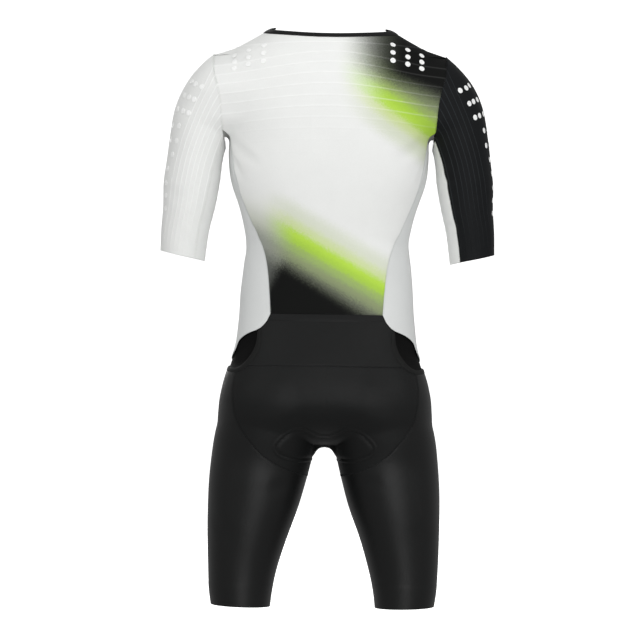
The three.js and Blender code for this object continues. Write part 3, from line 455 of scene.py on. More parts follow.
@dataclass(frozen=True)
class Openings:
    """Heights of the neck, cuffs and hems, in millimetres from the hold point."""

    neck_side: float = 1
    neck_back: float = -20.5
    neck_front: float = -66
    binding_rise: float = 6.5
    cuff_outer: float = -371
    cuff_inner: float = -388
    hem: float = -955

    def neck(self, angle: Array) -> Array:
        """The height of the neck seam at the given angles of the body."""
        back = np.sin(angle * DEGREE)
        drop = np.where(back > 0, self.neck_back, self.neck_front)
        power = np.where(back > 0, 1.5, 1.25)
        return self.neck_side + (drop - self.neck_side) * np.abs(back) ** power

    def cuff(self, angle: Array) -> Array:
        """The height of the cuff at the given angles of the arm."""
        share = (1 + np.cos(angle * DEGREE)) / 2
        return lerp(self.cuff_inner, self.cuff_outer, share)


@dataclass(frozen=True)
class Armhole:
    """The seam between the body and the sleeve, by turns about the shoulder.

    Turn 90 is the top of the shoulder, 0 the back and -90 the armpit.
    """

    places: Levels = field(default_factory=lambda: Levels((
        (-40, 192), (-60, 191.5), (-83, 189), (-102, 183.5),
        (-127, 178.5), (-153, 176), (-175, 174.5), (-200, 171.5),
    )))
    middle_y: float = -3
    middle_z: float = -118
    shoulder_turn: float = 101
    underarm_turn: float = -66

    def point(self, turn: Array) -> Array:
        """The points of the seam at the given turns."""
        turn = np.asarray(turn, float)
        cosine, sine = np.cos(turn * DEGREE), np.sin(turn * DEGREE)

        def at(reach: Array) -> Array:
            z = self.middle_z + reach * sine
            (x,) = self.places.at(z)
            return np.stack([x, self.middle_y + reach * cosine, z], axis=-1)

        def value(reach: Array) -> Array:
            return FORM.field(*np.moveaxis(at(reach), -1, 0))

        high = np.full(turn.shape, 14.0)
        for _ in range(27):
            high = np.where(value(high) < 0, high + 4, high)
        return at(narrow(high - 4, high, 22, lambda reach: value(reach) < 0))

    def between(self, start: float, end: float, count: int = 24) -> Route:
        """The stretch of the seam between two turns, as points."""
        return path_through(self.point(np.linspace(start, end, count + 1)))

    def turn_at(self, z: float) -> float:
        """The turn at which the back of the seam is at a height."""
        return float(narrow(
            np.array(self.underarm_turn), np.array(90.0), 24, lambda turn: self.point(turn)[2] < z
        ))


# Ribs of the back: the height of each crest at the middle and at the side edge
RIBS = (
    (-28, -36), (-44, -69), (-61, -85), (-78.5, -100.5), (-97, -116), (-116, -132),
    (-134, -148.5), (-152, -165), (-170, -180), (-189, -197), (-209, -215),
)
RIB_REACH = 2.6
RIB_TURN = 2.3


class Pattern:
    """Every seam of the suit, and the patches of the form that the panels cover."""

    shoulder_angle = -9.0
    back_share = (0.2, 0.3, 0.5)
    front_share = (0.22, 0.28, 0.5)
    pocket_top = -473.0
    pocket_bottom = -555.5
    waist_front = -548.0
    crotch_depth = -5.0
    seat_tip = -738.0
    mouth_end = (-12.0, -551.0)
    band_stops = 12
    band_on_pocket = 8
    band_on_seat = 2
    pocket_columns = 10
    cuff_under = 123.0
    zip_end = -430.0
    zip_half_opening = 5.0
    underlap = 8.0

    def __init__(self) -> None:
        """Lays the seams out from the neck down."""
        self.openings = Openings()
        self.armhole = Armhole()
        self._yoke()
        self._sides()
        self._sleeve()
        self._pocket()
        self._seat_and_legs()

    def _yoke(self) -> None:
        """Shoulder, armhole, neck and the edges of the back and the fronts."""
        hole = self.armhole
        corner = np.array([self.shoulder_angle, float(self.openings.neck(self.shoulder_angle))])
        self.neck_corner = corner
        end = BODY_CHART.place(hole.point(np.array(hole.shoulder_turn)))
        self.shoulder = straight(corner, end)
        under = hole.underarm_turn
        back_hole = hole.between(hole.shoulder_turn, under)
        front_hole = hole.between(hole.shoulder_turn, 180 - under)
        self.back_armhole = lambda t: BODY_CHART.place(back_hole(t))
        self.front_armhole = lambda t: BODY_CHART.place(front_hole(t))
        seam = (
            (155, -236), (149, -256), (142, -282), (130, -311), (115.5, -343),
            (104.5, -368), (99, -390), (94.5, -430), (91.5, self.pocket_top),
        )
        self.back_side = path_through([
            BODY_CHART.place(hole.point(np.array(under))), *back_places(seam)
        ])
        self.front_side = path_through([
            BODY_CHART.place(hole.point(np.array(180 - under))),
            (-15, -236), (-28, -300), (-40, -360), (-46, -430), (-48, -490),
            (-49, self.waist_front),
        ])
        self.back_edge = join_routes(
            self.back_share, self.shoulder, self.back_armhole, self.back_side
        )
        self.front_edge = join_routes(
            self.front_share, self.shoulder, self.front_armhole, self.front_side
        )

    def zip_edge(self, share: Array) -> Array:
        """The front's edge along the zip, from the neck down."""
        z = lerp(float(self.openings.neck(-86.5)), self.waist_front, share)
        x = self.zip_half_opening * (1 - smooth_step(self.zip_end, self.zip_end - 12, z))
        return BODY_CHART.place(on_face(x, z, -1))

    def neck_front(self, share: Array) -> Array:
        """The front's neck edge, from the shoulder to the zip."""
        end = self.zip_edge(START)
        angle = lerp(self.shoulder_angle, end[0], share)
        z = lerp(self.openings.neck(angle), end[1], smooth_step(0.8, 1, share))
        return pair(angle, z)

    def waist(self, share: Array) -> Array:
        """The seam under the front, from the side to the zip's line."""
        start, end = self.front_side(END), self.zip_edge(END)
        return pair(lerp(start[0], end[0], share), self.waist_front)

    def _sides(self) -> None:
        """The side panel, whose lower edge is the upper lip of the pocket mouth."""
        lip = ((98.5, -486), (110, -497), (129, -505.5), (144, -518))
        self.side_lower = path_through([
            self.back_side(END),
            *back_places(lip),
            (6, -537), self.mouth_end, (-30, self.waist_front - 1),
            self.front_side(END),
        ])
        under = self.armhole.underarm_turn
        hole = self.armhole.between(under, -180 - under, 8)
        self.side_upper = lambda t: BODY_CHART.place(hole(t))

    def _sleeve(self) -> None:
        """The outer sleeve and the strip under the arm."""
        hole, cuff = self.armhole, self.openings.cuff
        under = hole.underarm_turn

        def seam(turn: float, cuff_angle: float) -> Route:
            facing = math.copysign(90, cuff_angle)
            angle, z = ARM_CHART.place(hole.point(np.array(turn)), facing)

            def route(share: Array) -> Array:
                bow = (1 - np.clip(share, 0, 1)) ** 2.4
                heights = lerp(z, float(cuff(cuff_angle)), share)
                return pair(cuff_angle + (angle - cuff_angle) * bow, heights)

            return route

        self.under_back = seam(under, self.cuff_under)
        self.under_front = seam(180 - under, -self.cuff_under)

        def top(share: Array) -> Array:
            turn = lerp(under, 180 - under, share)
            points = hole.point(turn)
            behind = (turn < 90)[..., None]
            return np.where(behind, ARM_CHART.place(points, 90), ARM_CHART.place(points, -90))

        def hem(start: float, end: float) -> Route:
            def route(share: Array) -> Array:
                angle = lerp(start, end, share)
                return pair(angle, cuff(angle))

            return route

        self.sleeve_hem = hem(self.cuff_under, -self.cuff_under)
        self.sleeve = patch_between(top, self.sleeve_hem, self.under_back, self.under_front)

        def strip_top(share: Array) -> Array:
            return ARM_CHART.place(hole.point(lerp(under, -180 - under, share)), 180)

        self.strip_hem = hem(self.cuff_under, 360 - self.cuff_under)
        far = lambda share: self.under_front(share) + np.array([360.0, 0.0])
        self.strip = patch_between(strip_top, self.strip_hem, self.under_back, far)
        turns = [hole.turn_at(edge) for _, edge in RIBS if -182 < edge < -60]
        self.sleeve_ribs = [*reversed(turns), 90.0, *(180 - turn for turn in turns)]

    def _mouth(self, on_pocket: Sequence, on_seat: Sequence, end: Sequence[float]) -> Route:
        """One edge of the bound strip: along the pocket, then the seat, then the leg."""
        pocket = self.band_on_pocket / self.band_stops
        seat = self.band_on_seat / self.band_stops
        return join_routes(
            (pocket, seat, 1 - pocket - seat),
            path_through(back_places(on_pocket)),
            path_through(back_places([on_pocket[-1], *on_seat])),
            path_through([*back_places(on_seat[-1:]), end]),
        )

    def _pocket(self) -> None:
        """The rear pocket, the strips that bind its mouths and the layer behind it."""
        angle, z = self.mouth_end
        self.bound_edge = self._mouth(
            [(112, -501), (114.5, -522), (122, -539), (132, -552)],
            [(140, -558.5), (148, -562)],
            (angle + 2, z - 8),
        )
        self.band_edge = self._mouth(
            [(108, -497), (106.5, -521), (114, -543), (126, -557.5)],
            [(136, -565), (147.5, -569.5)],
            (angle + 1, z - 15),
        )
        self.band = patch_between(
            straight(self.band_edge(START), self.bound_edge(START)),
            straight(self.band_edge(END), self.bound_edge(END)),
            self.band_edge,
            self.bound_edge,
        )
        share = self.band_on_pocket / self.band_stops
        hip = (self.band_on_pocket + self.band_on_seat) / self.band_stops
        columns = self.pocket_columns + self.band_on_seat
        bottom = path_through([
            *back_places([(0, self.pocket_bottom), (60, self.pocket_bottom - 1)]),
            self.band_edge(np.array(share)),
        ])
        self.seat_top = join_routes(
            (self.pocket_columns / columns, self.band_on_seat / columns),
            bottom,
            between(self.band_edge, share, hip),
        )
        rows = 3 + self.band_on_pocket
        lip = path_through([
            self.side_lower(START), self.side_lower(np.array(0.09)), self.band_edge(START)
        ])
        side = join_routes(
            (3 / rows, self.band_on_pocket / rows), lip, between(self.band_edge, 0, share)
        )
        start = float(self.side_lower(START)[0])
        self.pocket = patch_between(
            straight((start, self.pocket_top), (180 - start, self.pocket_top)),
            both_sides(bottom),
            side,
            lambda t: mirror_angle(side(t)),
        )
        lap = self.underlap
        over = path_through([
            (90, self.pocket_top + lap),
            (start, self.pocket_top + lap),
            *(self.side_lower(np.array(t)) + np.array([-1, lap]) for t in (0.12, 0.3, 0.5, 0.66)),
            (angle + 1, z + lap),
        ])
        under = path_through([
            (90, self.pocket_bottom - lap),
            *(self.seat_top(np.array(t)) - np.array([0, lap]) for t in (0.3, 0.62, 0.8)),
            (angle + 1, z - 15 - lap),
        ])
        edge = straight(over(END), under(END))
        self.backing = patch_between(
            both_sides(over), both_sides(under), edge, lambda t: mirror_angle(edge(t))
        )

    def _seat_and_legs(self) -> None:
        """The seat from the pocket to the inseam, and the legs round it."""
        low = np.linspace(-600, -720, 1201)
        inside = FORM.field(np.zeros_like(low), np.full_like(low, self.crotch_depth), low) < 0
        self.crotch_top = float(low[np.argmin(inside)])
        hip = (self.band_on_pocket + self.band_on_seat) / self.band_stops
        corner = BODY_CHART.point(self.band_edge(np.array(hip)))

        def thigh_back(x: float, z: float) -> Array:
            _, _, back, front = LEG.at(z)
            return FORM.crossing(x, (back + front) / 2, z, 0.0, 1.0)

        seam = (
            (151, -595), (149.5, -622), (145.5, -643), (136.5, -662),
            (120, -684), (101, -704), (74, -721), (45, -733),
        )
        self.seat_seam = path_through([
            LEG_CHART.place(corner, 0),
            *(LEG_CHART.place(thigh_back(x, z), 90) for x, z in seam),
            (180, self.seat_tip),
        ])
        back_z = (self.pocket_bottom, -580, -605, -630, -650, -665, -675, -681)
        self.centre_back = path_through([
            *(LEG_CHART.place(on_face(0, z, 1), 90) for z in back_z),
            (180, self.crotch_top),
        ])
        top = lambda s: LEG_CHART.place(BODY_CHART.point(self.seat_top(s)), 90)
        inseam = straight((180, self.crotch_top), (180, self.seat_tip))
        self.seat_half = patch_between(top, inseam, self.centre_back, self.seat_seam)

        front_z = (self.waist_front, -580, -610, -635, -655, -668, -676, -682)
        self.centre_front = path_through([
            *(LEG_CHART.place(on_face(0, z, -1), -120) for z in front_z),
            (-180, self.crotch_top),
        ])
        front_inner = join_routes(
            (0.4, 0.6),
            self.centre_front,
            straight((-180, self.crotch_top), (-180, self.openings.hem)),
        )
        angle, z = self.mouth_end
        waist = [
            BODY_CHART.point(self.band_edge(END)),
            BODY_CHART.point(np.array([angle - 8, z - 7])),
            *(BODY_CHART.point(self.waist(np.array(t))) for t in (0.0, 0.3, 0.6, 1.0)),
        ]
        self.waist_on_leg = path_through([LEG_CHART.place(point, -40) for point in waist])
        band = lambda t: LEG_CHART.place(BODY_CHART.point(self.band_edge(lerp(hip, 1, t))), 0)
        self.leg_top = join_routes(
            (0.55, 0.07, 0.38), lambda t: self.seat_seam(1 - t), band, self.waist_on_leg
        )

        def hem(s: Array) -> Array:
            turn = lerp(180, -180, s)
            return pair(turn, self.openings.hem + 1.5 * np.cos(turn * DEGREE))

        lower = straight((180, self.seat_tip), (180, self.openings.hem))
        self.leg = patch_between(self.leg_top, hem, lower, front_inner)

    def seat_point(self, s: Array, t: Array) -> Array:
        """Points of the seat, from the wearer's left hip at s 0 to the right at s 1."""
        half = np.abs(2 * s - 1)
        points = LEG_CHART.point(self.seat_half(half, t))
        points[..., 0] *= np.where(half < 1e-6, 0.0, np.where(s < 0.5, 1.0, -1.0))
        return points


PATTERN = Pattern()


# Creases


@dataclass(frozen=True)
class Crease:
    """A soft fold along a straight line near the cloth.

    Attributes:
        start: Where it starts, in millimetres.
        end: Where it ends.
        width: How far from its line it fades out.
        depth: How deep the trough is. A ridge has a depth below zero.
    """

    start: tuple[float, float, float]
    end: tuple[float, float, float]
    width: float
    depth: float

    def lift(self, points: Array) -> Array:
        """How far the crease lifts the cloth at each point. A trough lowers it."""
        a, b = np.array(self.start, float), np.array(self.end, float)
        along = b - a
        share = (points - a) @ along / (along @ along)
        nearest = a + np.clip(share, 0, 1)[..., None] * along
        off = np.linalg.norm(points - nearest, axis=-1) / self.width
        swell = 0.35 * np.exp(-((off - 1.7) ** 2) * 1.6)
        return -self.depth * (np.exp(-off * off) - swell) * hump((share + 0.15) / 1.3)


# The start, the end, the width and the depth of each
CREASES = tuple(Crease(row[:3], row[3:6], *row[6:]) for row in (
    # From each armpit into the back and the side, and down the side panel
    (168, 40, -188, 118, 84, -232, 9, 2.0), (166, 22, -200, 140, 66, -268, 8, 1.7),
    (-168, 42, -184, -112, 86, -222, 10, 2.2), (-166, 20, -202, -146, 60, -276, 8, 1.5),
    (160, 8, -206, 152, 22, -292, 9, 1.8), (-160, 6, -208, -150, 26, -284, 10, 2.0),
    (160, -18, -214, 140, -40, -300, 9, 1.6), (-160, -22, -210, -142, -36, -306, 9, 1.8),
    # Where the waist pulls in
    (138, 14, -348, 112, 56, -334, 8, 1.2), (-138, 10, -362, -108, 58, -350, 9, 1.4),
    (134, -10, -372, 100, -66, -358, 9, 1.5), (-136, -14, -352, -92, -72, -368, 10, 1.3),
    (70, 66, -372, 10, 76, -382, 12, 0.9), (-84, 62, -388, -24, 75, -376, 12, 0.8),
    # Inside of the elbows and round the sleeves
    (178, 20, -250, 196, 46, -240, 8, 1.6), (-178, 22, -262, -198, 46, -248, 8, 1.8),
    (192, -30, -262, 214, -54, -252, 9, 1.7), (-190, -32, -252, -216, -54, -262, 9, 1.5),
    (262, 16, -268, 240, 44, -286, 10, 1.1), (-264, 10, -256, -238, 44, -270, 10, 1.2),
    (196, 18, -318, 214, 36, -330, 9, 1.2), (-196, 20, -330, -216, 36, -322, 9, 1.0),
    # Over the shoulders and the chest
    (176, -44, -110, 118, -98, -136, 11, 1.6), (-178, -42, -118, -122, -98, -132, 11, 1.8),
    (60, -108, -196, 24, -112, -262, 13, 1.1), (-66, -108, -206, -22, -112, -252, 13, 1.0),
    (88, -84, -330, 24, -100, -352, 13, 1.4), (-80, -86, -346, -20, -100, -334, 12, 1.2),
    # Hips, seat and the backs of the thighs
    (146, 46, -600, 120, 86, -622, 14, 1.2), (-146, 44, -590, -118, 88, -616, 14, 1.1),
    (30, 96, -640, 66, 94, -652, 12, 1.0), (-28, 96, -648, -70, 94, -640, 12, 0.9),
    (150, -20, -660, 96, -78, -640, 13, 1.5), (-150, -24, -650, -98, -78, -646, 13, 1.4),
    (30, -64, -652, 72, -82, -630, 10, 1.5), (-28, -64, -646, -74, -82, -634, 10, 1.4),
    (62, 44, -744, 84, 74, -760, 11, 1.0), (-60, 44, -752, -88, 74, -742, 11, 1.1),
    (170, 26, -800, 150, 58, -838, 14, 0.9), (-172, 20, -812, -148, 58, -832, 14, 0.8),
))


def drape(points: Array) -> Array:
    """How far the cloth lies outside the plain form: the creases and a slow unevenness."""
    x, y, z = np.moveaxis(points, -1, 0)
    slow = np.sin(x / 31 + z / 47 + 1.3) * np.sin(y / 37 - z / 29 + 0.4)
    slow += 0.6 * np.sin(x / 17 - z / 23 + 2.1) * np.sin(y / 21 + z / 61)
    lift = 0.35 * slow
    for crease in CREASES:
        reach = 4 * crease.width
        low = np.minimum(crease.start, crease.end) - reach
        high = np.maximum(crease.start, crease.end) + reach
        near = np.all((points > low) & (points < high), axis=-1)
        if near.any():
            lift[near] += crease.lift(points[near])
    return lift


# Meshes


def make_object(
    name: str, points: Array, faces: list, material: Material, crest: Array | None = None
) -> Piece:
    """Makes a smooth mesh object from points in millimetres, each with its share of a crest."""
    mesh = bpy.data.meshes.new(name)
    mesh.from_pydata((points * MM).tolist(), [], faces)
    mesh.validate()
    mesh.polygons.foreach_set("use_smooth", [True] * len(mesh.polygons))
    mesh.set_sharp_from_angle(angle=52 * DEGREE)
    mesh.materials.append(material)
    if crest is not None:
        mesh.attributes.new("crest", "FLOAT", "POINT").data.foreach_set("value", crest)
    piece = bpy.data.objects.new(name, mesh)
    bpy.context.scene.collection.objects.link(piece)
    return piece


def grid_faces(rows: int, columns: int, start: int = 0, flip: bool = False) -> list:
    """The faces of a grid of points that are numbered row by row from start."""
    ids = start + np.arange(rows * columns).reshape(rows, columns)
    quads = np.stack([ids[:-1, :-1], ids[1:, :-1], ids[1:, 1:], ids[:-1, 1:]], axis=-1)
    quads = quads.reshape(-1, 4)
    return (quads[:, ::-1] if flip else quads).tolist()


def shell(
    name: str, outer: Array, inner: Array, normals: Array, material: Material,
    crest: Array | None = None,
) -> Piece:
    """Joins an outer and an inner grid of points into a closed shell.

    Args:
        name: The piece's name.
        outer: The outer grid, rows by columns by three.
        inner: The inner grid.
        normals: The outward direction at each point.
        material: Its finish.
        crest: How much of a rib's crest each outer point is.

    Returns:
        The object.
    """
    rows, columns = outer.shape[:2]
    count = rows * columns
    ids = np.arange(count).reshape(rows, columns)
    ring = np.concatenate([ids[0, :-1], ids[:-1, -1], ids[-1, :0:-1], ids[:0:-1, 0]])
    following = np.roll(ring, -1)
    sides = np.stack([ring, following, following + count, ring + count], axis=-1)
    i, j = rows // 2, columns // 2
    facing = np.cross(outer[i + 1, j] - outer[i, j], outer[i, j + 1] - outer[i, j])
    flip = float(facing @ normals[i, j]) < 0
    faces = grid_faces(rows, columns, 0, flip) + grid_faces(rows, columns, count, not flip)
    faces += (sides[:, ::-1] if flip else sides).tolist()
    if crest is not None:
        crest = np.concatenate([crest.ravel(), np.zeros(count)])
    points = np.vstack([outer.reshape(-1, 3), inner.reshape(-1, 3)])
    return make_object(name, points, faces, material, crest)


def rim_distance(points: Array, open_edges: str = "") -> Array:
    """How far each point of a grid is from the grid's sewn edges.

    Args:
        points: The grid, rows by columns by three.
        open_edges: Which of the edges t, b, l and r aren't sewn.

    Returns:
        The distances in millimetres, at most the reach.
    """
    reach = 12.0
    lines = {"t": points[0], "b": points[-1], "l": points[:, 0], "r": points[:, -1]}
    flat = points.reshape(-1, 3)
    best = np.full(len(flat), reach)
    for line in (lines[edge] for edge in lines if edge not in open_edges):
        low, high = line.min(0) - reach, line.max(0) + reach
        near = np.flatnonzero(np.all((flat > low) & (flat < high), axis=1))
        starts, along = line[:-1], np.diff(line, axis=0)
        length = np.maximum((along**2).sum(1), 1e-9)
        for part in np.array_split(near, max(1, len(near) // 2000)):
            off = flat[part][:, None] - starts[None]
            share = np.clip((off * along).sum(-1) / length, 0, 1)
            gap = np.linalg.norm(off - share[..., None] * along, axis=-1).min(1)
            best[part] = np.minimum(best[part], gap)
    return best.reshape(points.shape[:2])


@dataclass
class Cloth:
    """A panel of knitted cloth as a thin shell over a patch of the form.

    Attributes:
        name: The piece's name.
        point: From arrays of s and t to points of the form.
        across: The stops of s.
        down: The stops of t.
        relief: How far ribs and trims raise the outer face.
        depth: How far the whole cloth lies under the form's face.
        thickness: The cloth's thickness.
        seam_gap: How far the sewn edges stand back from the seam's line.
        open_edges: The cut edges, of t, b, l and r.
        roll: How far a sewn edge turns in.
        crest: How strongly a rib's crest shows its painted highlight colour, from 0 to 1.
    """

    name: str
    point: Patch
    across: Array
    down: Array
    relief: Relief | None = None
    depth: float | Patch = 0.0
    thickness: float = 0.9
    seam_gap: float = 0.04
    open_edges: str = ""
    roll: float = 0.22
    crest: Relief | None = None

    def build(self, material: Material, side: Side = Side.LEFT) -> Piece:
        """Makes the shell.

        Args:
            material: Its finish.
            side: Which side of the body it is on.

        Returns:
            The object.
        """
        s, t = np.meshgrid(self.across, self.down)
        base = self.point(s, t)
        normals = FORM.normals(base)
        rim = rim_distance(base, self.open_edges)
        if side is Side.RIGHT:
            base, normals = base * (-1, 1, 1), normals * (-1, 1, 1)
        lift = drape(base)
        depth = self.depth(s, t) if callable(self.depth) else self.depth
        on_left = base * (side.value, 1, 1)
        raised = 0.0 if self.relief is None else self.relief(s, t, on_left)
        turned = self.roll * np.exp(-((rim / 1.5) ** 2))
        outer = base + normals * (lift - depth + raised - turned)[..., None]
        inner = base + normals * (lift - depth - turned - self.thickness)[..., None]
        outer, inner = self._stand_back(outer), self._stand_back(inner)
        widths, lengths = (
            np.linalg.norm(np.diff(outer, axis=axis), axis=-1).sum(axis) for axis in (1, 0)
        )
        log.info("%s: at most %.0f by %.0f mm", self.name, widths.max(), lengths.max())
        crest = None if self.crest is None else self.crest(s, t, on_left)
        return shell(self.name, outer, inner, normals, material, crest)

    def _stand_back(self, points: Array) -> Array:
        """Draws the sewn rim in along the cloth, to leave the line of the seam."""
        moved = points.copy()
        edges = {
            "t": (moved[0], points[1] - points[0]),
            "b": (moved[-1], points[-2] - points[-1]),
            "l": (moved[:, 0], points[:, 1] - points[:, 0]),
            "r": (moved[:, -1], points[:, -2] - points[:, -1]),
        }
        for edge, (line, inward) in edges.items():
            if edge in self.open_edges:
                continue
            along = unit(np.gradient(line, axis=0))
            into = inward - (inward * along).sum(-1, keepdims=True) * along
            line += unit(into) * np.minimum(self.seam_gap, np.linalg.norm(into, axis=-1) / 2)[:, None]
        return moved


def edged(stops: Array, length: float) -> Array:
    """Stops with a few more close to both ends of a length, so that a turned edge is round."""
    near, clear = np.array([0.7, 1.5, 2.4]) / length, 3.2 / length
    kept = stops[(stops == 0) | (stops == 1) | ((stops > clear) & (stops < 1 - clear))]
    return np.unique(np.concatenate([kept, near, 1 - near]))


def even(length: float, pitch: float = 3.0) -> Array:
    """Even stops over a length, about a pitch apart, with close ones at both ends."""
    return edged(np.linspace(0, 1, max(4, round(length / pitch)) + 1), length)


def ring_faces(rings: int, sides: int, start: int) -> list:
    """The faces round rings of points, numbered ring by ring from start, with closed ends."""
    ids = start + np.arange(rings * sides).reshape(rings, sides)
    around = np.roll(ids, -1, axis=1)
    quads = np.stack([ids[:-1], around[:-1], around[1:], ids[1:]], axis=-1).reshape(-1, 4)
    return [*quads.tolist(), ids[0, ::-1].tolist(), ids[-1].tolist()]


def tubes(lines: Sequence[Array], radius: float, sides: int = 4) -> tuple[Array, list]:
    """The points and faces of thin round threads along lines of points, in millimetres."""
    angles = np.arange(sides) * 2 * math.pi / sides
    points, faces, start = [], [], 0
    for line in lines:
        along = unit(np.gradient(line, axis=0))
        beside = unit(np.cross(along, np.where(np.abs(along[:, 2:]) > 0.9, (1.0, 0, 0), (0, 0, 1.0))))
        above = np.cross(along, beside)
        ring = beside[:, None] * np.cos(angles)[:, None] + above[:, None] * np.sin(angles)[:, None]
        points.append((line[:, None] + ring * radius).reshape(-1, 3))
        faces += ring_faces(len(line), sides, start)
        start += len(line) * sides
    return np.vstack(points), faces


# Finishes


def linear(code: str) -> tuple[float, float, float, float]:
    """The linear colour of an sRGB hex code."""
    channels = [int(code[i : i + 2], 16) / 255 for i in (1, 3, 5)]
    return (*(c / 12.92 if c <= 0.04045 else ((c + 0.055) / 1.055) ** 2.4 for c in channels), 1.0)


def add_node(tree: NodeTree, kind: str, inputs: dict | None = None, **settings) -> bpy.types.Node:
    """Adds a node with its settings, and its inputs by name or number as values or links."""
    node = tree.nodes.new(kind)
    for name, value in settings.items():
        setattr(node, name, value)
    for socket, value in (inputs or {}).items():
        if isinstance(value, Socket):
            tree.links.new(value, node.inputs[socket])
        else:
            node.inputs[socket].default_value = value
    return node


class Colours:
    """Sums of fields and colours in a material's nodes, on places in millimetres."""

    def __init__(self, tree: NodeTree) -> None:
        """Reads the place on the object, in millimetres."""
        self.tree = tree
        place = add_node(tree, "ShaderNodeTexCoord").outputs["Object"]
        scaled = add_node(tree, "ShaderNodeVectorMath", {0: place}, operation="SCALE")
        scaled.inputs["Scale"].default_value = 1 / MM
        self.place = scaled.outputs[0]

    def along(self, direction: Sequence[float], start: Sequence[float] = (0, 0, 0)) -> Socket:
        """How far a place is from start, measured along a direction."""
        kind = "ShaderNodeVectorMath"
        off = add_node(self.tree, kind, {0: self.place, 1: tuple(start)}, operation="SUBTRACT")
        inputs = {0: off.outputs[0], 1: tuple(direction)}
        return add_node(self.tree, kind, inputs, operation="DOT_PRODUCT").outputs["Value"]

    def sum(self, operation: str, *values: Socket | float) -> Socket:
        """A sum of two or three values, by its name in the Math node."""
        inputs = dict(enumerate(values))
        return add_node(self.tree, "ShaderNodeMath", inputs, operation=operation).outputs[0]

    def rise(self, value: Socket, start: float, end: float) -> Socket:
        """0 at start, 1 at end and smooth between."""
        inputs = {"Value": value, "From Min": start, "From Max": end}
        node = add_node(self.tree, "ShaderNodeMapRange", inputs, interpolation_type="SMOOTHSTEP")
        return node.outputs["Result"]

    def mix(self, share: Socket, a: Socket | tuple, b: Socket | tuple) -> Socket:
        """One colour turning into another. The node has its colours at inputs 6 and 7."""
        inputs = {0: share, 6: a, 7: b}
        return add_node(self.tree, "ShaderNodeMix", inputs, data_type="RGBA").outputs[2]

    def ramp(self, value: Socket, stops: Sequence[tuple[float, str]]) -> Socket:
        """A run of colours over distances in millimetres."""
        start, end = stops[0][0], stops[-1][0]
        inputs = {"Value": value, "From Min": start, "From Max": end}
        share = add_node(self.tree, "ShaderNodeMapRange", inputs)
        node = add_node(self.tree, "ShaderNodeValToRGB", {0: share.outputs["Result"]})
        node.color_ramp.interpolation = "EASE"
        elements = node.color_ramp.elements
        for at, code in stops[1:-1]:
            elements.new((at - start) / (end - start)).color = linear(code)
        elements[0].color, elements[-1].color = linear(stops[0][1]), linear(stops[-1][1])
        return node.outputs[0]

    def grain(self, size: float, detail: float = 2.0) -> Socket:
        """Even noise with grains of about a size in millimetres, from 0 to 1."""
        inputs = {"Vector": self.place, "Scale": 1 / size, "Detail": detail}
        return add_node(self.tree, "ShaderNodeTexNoise", inputs).outputs["Fac"]

    def bump(self, height: Socket, distance: float, strength: float) -> Socket:
        """Normals that a height of 0 to 1 tilts, as if it stood distance millimetres high."""
        inputs = {"Height": height, "Distance": distance * MM, "Strength": strength}
        return add_node(self.tree, "ShaderNodeBump", inputs).outputs[0]


def start_material(name: str) -> tuple[Material, bpy.types.Node, Colours]:
    """A new material, its shader and the sums on its nodes."""
    material = bpy.data.materials.new(name)
    material.use_nodes = True
    tree = material.node_tree
    return material, tree.nodes["Principled BSDF"], Colours(tree)


@dataclass(frozen=True)
class Knit:
    """Knitted polyester with elastane: soft and matt, with fine wales and courses.

    The eye gets a dry, even tone with a faint sheen at grazing angles.

    Attributes:
        name: The material's name.
        colour: Its colour, where no fade changes it.
        roughness: How matt it is.
        sheen: How strongly its fibres catch light from the side.
        wale: The spacing of its stitches. A real 0.6 mm stitch is too fine to show, so it
            is drawn about twice as coarse.
        bump: How high the stitches stand, in millimetres.
        mottle: How much its tone wanders.
        shine: How strongly its face reflects.
        rib: The colour of its ribs' crests, where it has ribs: painted highlight and paler yarn.
    """

    name: str
    colour: str
    roughness: float = 0.78
    sheen: float = 0.12
    wale: float = 1.3
    bump: float = 0.10
    mottle: float = 0.035
    shine: float = 0.25
    rib: str = ""

    def colour_field(self, colours: Colours) -> Socket | tuple:
        """The cloth's dyed colour before the mottle."""
        return linear(self.colour)

    def crest_highlight_colour(self, colours: Colours, dyed: Socket | tuple) -> Socket | tuple:
        """The colour of a rib's crest, which is a painted highlight along it."""
        return linear(self.rib)

    def material(self) -> Material:
        """Builds the material."""
        material, shader, colours = start_material(self.name)
        tree = colours.tree
        dyed = self.colour_field(colours)
        if self.rib:
            # The crests' paler colour is painted highlight along the ribs, together with the paler
            # stretched yarn
            crest = add_node(tree, "ShaderNodeAttribute", attribute_name="crest").outputs["Fac"]
            dyed = colours.mix(crest, dyed, self.crest_highlight_colour(colours, dyed))
        cloudy, speckled = self.mottle, 1.6 * self.mottle
        patches = colours.sum("MULTIPLY", colours.grain(26), cloudy)
        specks = colours.sum(
            "MULTIPLY_ADD", colours.grain(1.6), speckled, 1 - (cloudy + speckled) / 2
        )
        value = colours.sum("ADD", patches, specks)
        tone = add_node(tree, "ShaderNodeHueSaturation", {"Color": dyed, "Value": value})
        tree.links.new(tone.outputs[0], shader.inputs["Base Color"])
        # The wave node draws one wave in pi / 10 of its unit
        waves = {
            "Vector": colours.place,
            "Scale": round(math.pi / 10, 3) / self.wale,
            "Distortion": 0.6,
            "Detail": 1.0,
        }
        wales, courses = (
            add_node(tree, "ShaderNodeTexWave", waves, bands_direction=way).outputs["Fac"]
            for way in "XZ"
        )
        stitch = colours.sum("MULTIPLY", wales, courses)
        uneven = colours.sum("MULTIPLY", colours.grain(3.2), 0.8)
        bump = colours.bump(colours.sum("ADD", stitch, uneven), self.bump, 0.8)
        tree.links.new(bump, shader.inputs["Normal"])
        shader.inputs["Roughness"].default_value = self.roughness
        shader.inputs["Sheen Weight"].default_value = self.sheen
        shader.inputs["Sheen Roughness"].default_value = 0.5
        shader.inputs["Specular IOR Level"].default_value = self.shine
        return material


